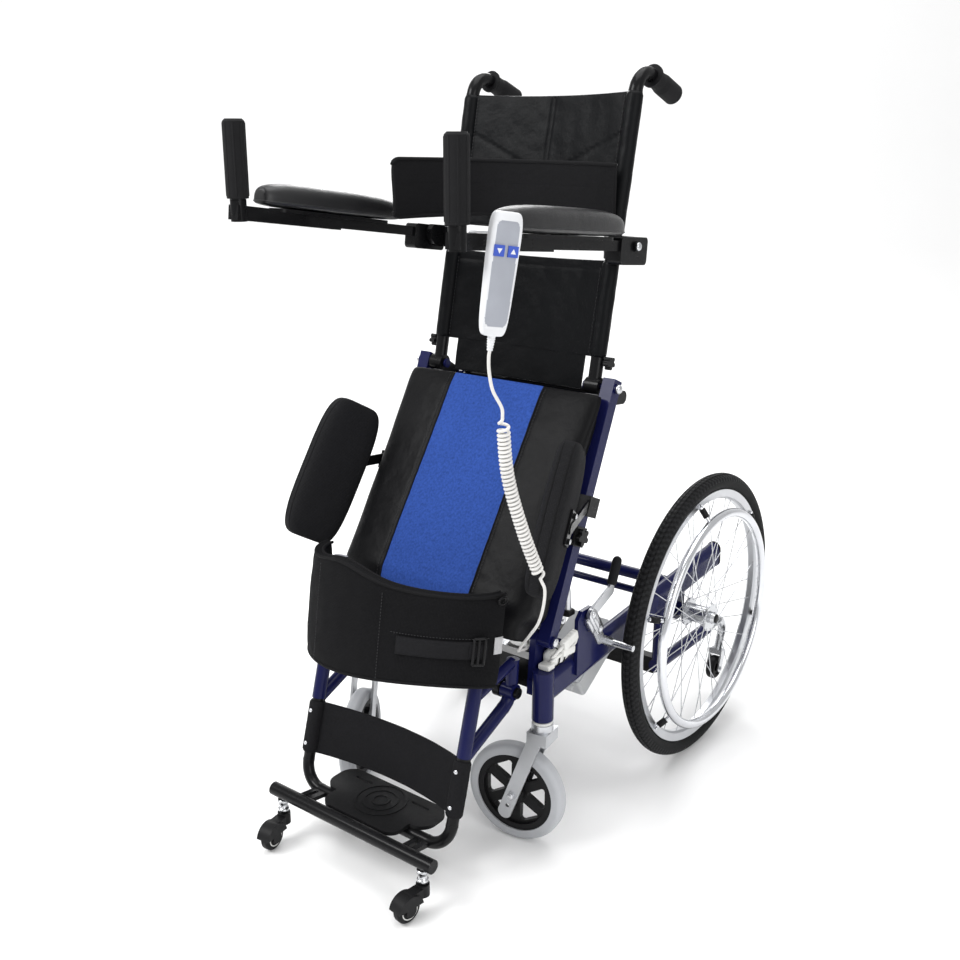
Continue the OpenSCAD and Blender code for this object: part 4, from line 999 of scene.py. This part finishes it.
# Hook over the arm, a bent strip along y: x and z of each bend, and the way its thickness points
HOOK = [(257, 1143, 0, 1), (236, 1143, 0, 1), (219, 1143, 0.1, 1), (216.4, 1142, 0.7, 0.7),
        (215.7, 1139, 1, 0), (215.7, 1126, 1, 0), (216.2, 1118, 1, 0)]
HOOK_SECTION = ((-1.6, -712), (1.6, -712), (1.6, -694), (-1.6, -694))
hook = [[at(x + nx * s, y, z + nz * s) for s, y in HOOK_SECTION] for x, z, nx, nz in HOOK]
on_handset(loft("handset_hook", hook, handset_white, smooth=False))
ARROW = ((-4.2, -3.2), (4.2, -3.2), (0, 4.2))
for name, x, up in (("up", 11, 1), ("down", -11, -1)):
    faces = [[handset_axes(x + a, depth, 34 + up * b) for a, b in ARROW] for depth in (-12.9, -13.25)]
    mark = loft(f"button_mark_{name}", faces, handset_white, smooth=False)
    ride(mark, f"button_{name}", "button_blue")

# Wiring bundle behind the left caster head: wrapped leads with ties
BUNDLE_X, BUNDLE_Y, BUNDLE_LOW, BUNDLE_TALL = 136, -434, 330.3, 41.5
bundle = []
for i in range(60):
    u = i / 59
    z = BUNDLE_LOW + BUNDLE_TALL * (0.5 - 0.5 * math.cos(math.pi * u))
    e = bulge(2 * u - 1, 3)
    ring = []
    for j in range(72):
        q = squircle(j / 72, 3.2)
        a = math.tau * j / 72
        wrap = 1.3 * math.sin(z * 0.9 + 2 * math.cos(a))
        wx, wy = 18 + 10.5 * e, 28 + 13 * e
        soft = 1 + 0.05 * wave(30 * math.cos(a), 30 * math.sin(a), z, 22)
        x, y = (wx + wrap * 0.5) * q[0] * soft, (wy + wrap * 0.5) * q[1] * soft
        ring.append(at(BUNDLE_X + x, BUNDLE_Y + y, z))
    bundle.append(ring)
ride(loft("wire_bundle", bundle, wire_white), "base", "wire_white", "wiring_bundle")
ties = []
corners = [squircle(j / 48, 3.2) for j in range(49)]
for z in (341, 353, 363):
    e = bulge(2 * (z - BUNDLE_LOW) / BUNDLE_TALL - 1, 3)
    wx, wy = 18.4 + 10.9 * e, 28.4 + 13.4 * e
    hoop = [at(BUNDLE_X + wx * q[0], BUNDLE_Y + wy * q[1], z) for q in corners]
    ties.append(tube_rings(hoop, 0.0014, 8))
ride(several("wire_ties", ties, black_plastic), "base", "wire_white")


# Small hardware that stands on the frame
def dome(place, axis, r, h):
    """Rings of a domed head on a face."""
    profile = [(0, r), (h * 0.5, r), (h * 0.85, r * 0.75), (h, r * 0.35), (h, r * 0.04)]
    return turned_profile(place, axis, profile, 18)


def hardware(name, body, look, slot, shapes):
    ride(several(name, shapes, look), body, slot)


def steel(name, body, shapes):
    hardware(name, body, bright_steel, "bright_steel", shapes)


BASE_NUTS = ((233.6, *KNEE, 8), (BRAKE_FACE, *BRAKE_BOLTS[0], 7), (BRAKE_FACE, *BRAKE_BOLTS[1], 6))
STEM = [(60.2, 7.2), (60.2, 10), (66, 10), (66, 8.4), (78, 8.4), (78, 10.4), (84.5, 10.4), (84.5, 7.2)]
BOTH = (1, -1)
steel("arm_pivot_nuts", "backrest", [dome(shifted(at, k * 250, *ARM_PIVOT), "x", 7.5, k * 5) for k in BOTH])
steel("hip_nuts", "seat", [dome(shifted(at, k * 232, *HIP), "x", 8.5, k * 8) for k in BOTH])
steel("pad_screws", "seat", [dome(shifted(thigh_axes(k), 31, 0, z), "x", 4.8, 2.6)
                             for k in BOTH for z in (-22, 22)])
steel("base_nuts", "base", [dome(shifted(at, k * x, y, z), "x", r, k * 4)
                            for k in BOTH for x, y, z, r in BASE_NUTS])
steel("calf_screws", "legs", [dome(shifted(leg_axes, k * LEG_TUBE_X, -16, z), "y", 4, -2.4)
                              for k in BOTH for z in (80, 144)])
steel("foot_stems", "legs", [turned_profile(shifted(at, k * FOOT_STEM[0], FOOT_STEM[1], 0), "z", STEM, 24)
                             for k in BOTH])


def strip(p, q, width, x0, x1, side):
    """Rings of a flat bar with round ends between two side points, from x0 out to x1."""
    a, b = Vector(p), Vector(q)
    turn = math.atan2(b.y - a.y, b.x - a.x)
    rings = []
    for x, inset in ((x0, 0.5), (x0 + 0.5, 0), (x1 - 0.5, 0), (x1, 0.5)):
        ring = []
        for end, start in ((b, -0.5), (a, 0.5)):
            for k in range(13):
                w, r = turn + math.pi * (start + k / 12), width / 2 - inset
                ring.append(at(side * x, end.x + r * math.cos(w), end.y + r * math.sin(w)))
        rings.append(ring)
    return rings


def block(place, size, p=5, ribs=0):
    """Rings of a soft-edged box round a place, its length along y and so many ribs across it."""
    rings = []
    for i in range(41):
        t = -math.cos(math.pi * i / 40)
        e = 0.72 + 0.28 * bulge(t, 6) - (0.06 if ribs and math.sin(math.pi * ribs * (1 + t)) > 0.4 else 0)
        x, y, z = size[0] / 2 * e, size[1] / 2 * t, size[2] / 2 * e
        rings.append([place(x * q[0], y, z * q[1]) for q in [squircle(j / 40, p) for j in range(40)]])
    return rings


# Brake: hand grips, and a folded bright bracket over each lever's foot
GRIP = ((-326, 473), (-321, 485), (-313, 504), (-304.5, 523.4))


def grip_radius(u):
    """Radius along a brake grip, round at its free end."""
    return 0.0092 * (0.80 + 0.20 * bulge(2 * u - 1, 7)) * bulge(max(0, (u - 0.8) / 0.202), 2.4)


for side, tag in SIDES:
    grip = spline([at(side * 249, y, z) for y, z in GRIP], 10)
    hardware(f"brake_grip_{tag}", f"brake_lever_{tag}", foam_black, "black_plastic",
             [tube_rings(grip, grip_radius, 24)])
    steel(f"brake_bracket_{tag}", "base", [strip(*BRAKE_BOLTS, 23, 252.4, BRAKE_FACE, side),
                                           strip((-392, 428), (-377, 407), 7, 254.6, 258, side),
                                           strip((-404, 426), (-388, 402), 9, 241.4, 252.6, side)])

# Wiring on the left beam: wrapped leads, plugs, and a bent steel tube in its clamp
WRAP_X, WRAP_Z = 219, 374
wrap = []
for i in range(61):
    t = i / 60
    e = bulge(2 * t - 1, 4)
    ring = []
    for j in range(56):
        a = math.tau * j / 56
        q = squircle(j / 56, 2.6)
        soft = 1 + 0.10 * wave(40 * math.cos(a), 60 * t, 40 * math.sin(a), 22)
        soft += 0.05 * math.sin(58 * t + 3 * math.sin(a))
        x, z = 13 * (0.55 + 0.45 * e) * q[0] * soft, 17 * (0.5 + 0.5 * e) * q[1] * soft
        ring.append(at(WRAP_X + x, -488 + 49 * t, WRAP_Z + z))
    wrap.append(ring)
plugs = [block(turned((238.6, -451, 403), (14, "X")), (13, 44, 20), 5, 5),
         block(turned((238.2, -456, 384), (-6, "X")), (12, 38, 15), 5, 4),
         block(shifted(at, 221, -496, 364), (24, 20, 11), 6)]
loose = [[(238, -470, 397), (236, -482, 391), (230, -488, 382), (222, -484, 376)],
         [(238, -474, 384), (234, -486, 379), (226, -489, 371), (219, -484, 368)],
         [(238.4, -432, 411), (238, -426.4, 402), (237.4, -428, 391), (237, -440, 385)]]
leads = [tube_rings(spline([at(*p) for p in line], 10), 0.0032, 12) for line in loose]
hardware("beam_leads", "base", wire_white, "wire_white", [wrap, *plugs, *leads])
corners = [squircle(k % 48 / 48, 2.6) for k in range(49)]
ties = []
for y in (-472, -455):
    ties.append(tube_rings([at(WRAP_X + 14.2 * q[0], y, WRAP_Z + 18.4 * q[1]) for q in corners], 0.0013, 8))
hardware("beam_ties", "base", black_plastic, "wire_white", ties)
clamp = block(shifted(at, 215, -422, 442), (22, 20, 12), 4)
hardware("tube_clamp", "seat", black_plastic, "black_plastic", [clamp])
BENT = ((215, -422, 437), (215, -422.5, 458), (214, -423, 480), (210, -424, 495), (202, -425.5, 503),
        (192, -426, 505))
bent = tube_rings(spline([at(*p) for p in BENT], 8), 0.0072, 20)
hardware("bent_tube", "seat", fork_alloy, "bright_steel", [bent])

# Wheels: hub caps, push rim tabs, caster nuts and rings
HANDRIM_TAB = ((242, 27), (258.5, 17))
CASTER_TRAIL, CASTER_R, FOOT_TRAIL, FOOT_R = 50, 98, 37, 25
turns = [math.tau * k / 40 for k in range(41)]
for side, tag in SIDES:
    wheel = wheel_axes(side)
    caster = swivel_axes(CASTER_STEM, CASTER_TURNS[side], side)
    foot = swivel_axes(FOOT_STEM, FOOT_TURNS[side], side)
    cap = dome(shifted(wheel, 0, 0, 38), "z", 9.5, 4)
    hardware(f"hub_cap_{tag}", f"rear_wheel_{tag}", black_plastic, "bright_steel", [cap])
    tabs = []
    for k in range(6):
        c, s = heading(60 * k + 12)
        ends = [wheel(r * c, r * s, z) for r, z in HANDRIM_TAB]
        tabs.append(tube_rings(ends, 0.0066, 12))
    hardware(f"handrim_tabs_{tag}", f"rear_wheel_{tag}", black_plastic, "handrim_chrome", tabs)
    nuts = [dome(shifted(caster, CASTER_TRAIL, k * 28.5, CASTER_R), "y", 6.5, k * 4) for k in (-1, 1)]
    steel(f"caster_nuts_{tag}", f"caster_{tag}", nuts)
    collar = turned_profile(caster, "z", [(254.3, 16.2), (254.3, 19), (259.5, 19), (259.5, 16.2)], 36)
    hardware(f"caster_ring_{tag}", f"caster_{tag}", wire_white, "bright_steel", [collar])
    hoops = []
    for y in (-8.9, 8.9):
        hoop = [foot(FOOT_TRAIL + 16 * math.cos(a), y, FOOT_R + 16 * math.sin(a)) for a in turns]
        hoops.append(tube_rings(hoop, 0.0010, 8))
    hardware(f"foot_wheel_rings_{tag}", f"foot_wheel_{tag}", wire_white, "wheel_black", hoops)

# Stage and light
turns = [math.pi / 2 * k / 16 for k in range(1, 17)]
curve = [(-8, 0), (2.6, 0), *[(2.6 + 2 * math.sin(a), 2 - 2 * math.cos(a)) for a in turns], (4.6, 7)]
cove = [[Vector((x, y, z - 0.0006)) for x in (-9, 9)] for y, z in curve]
white = Look("studio_white", (0.91, 0.91, 0.91), 0.9)
white.tint(white.noise(2, 3), 0.985, 1.01)
floor = loft("studio_floor", cove, white.mat, closed=False)
floor.rotation_euler[2] = azimuth

world = bpy.data.worlds.new("studio")
world.use_nodes = True
background = world.node_tree.nodes["Background"].inputs
background["Color"].default_value = (1, 1, 1, 1)
background["Strength"].default_value = 0.66
scene.world = world


def softbox(name, place, target, size, power):
    light = bpy.data.lights.new(name, "AREA")
    light.shape = "RECTANGLE"
    light.size, light.size_y = size
    light.energy = power
    obj = bpy.data.objects.new(name, light)
    scene.collection.objects.link(obj)
    obj.location = place
    obj.rotation_euler = (Vector(target) - Vector(place)).to_track_quat("-Z", "Y").to_euler()


softbox("key", (-1.6, -3.0, 3.4), (0, 0, 0.7), (2.2, 1.6), 125)
softbox("fill", (3.2, -1.4, 2.0), (0, 0, 0.6), (2.0, 2.4), 42)
softbox("top", (0.2, 0.2, 4.2), (0, 0, 0), (3.0, 3.0), 95)
softbox("rim", (-1.8, 2.4, 2.6), (0, 0, 0.8), (1.6, 1.6), 48)

scene.view_settings.view_transform = "Standard"
bpy.context.view_layer.update()
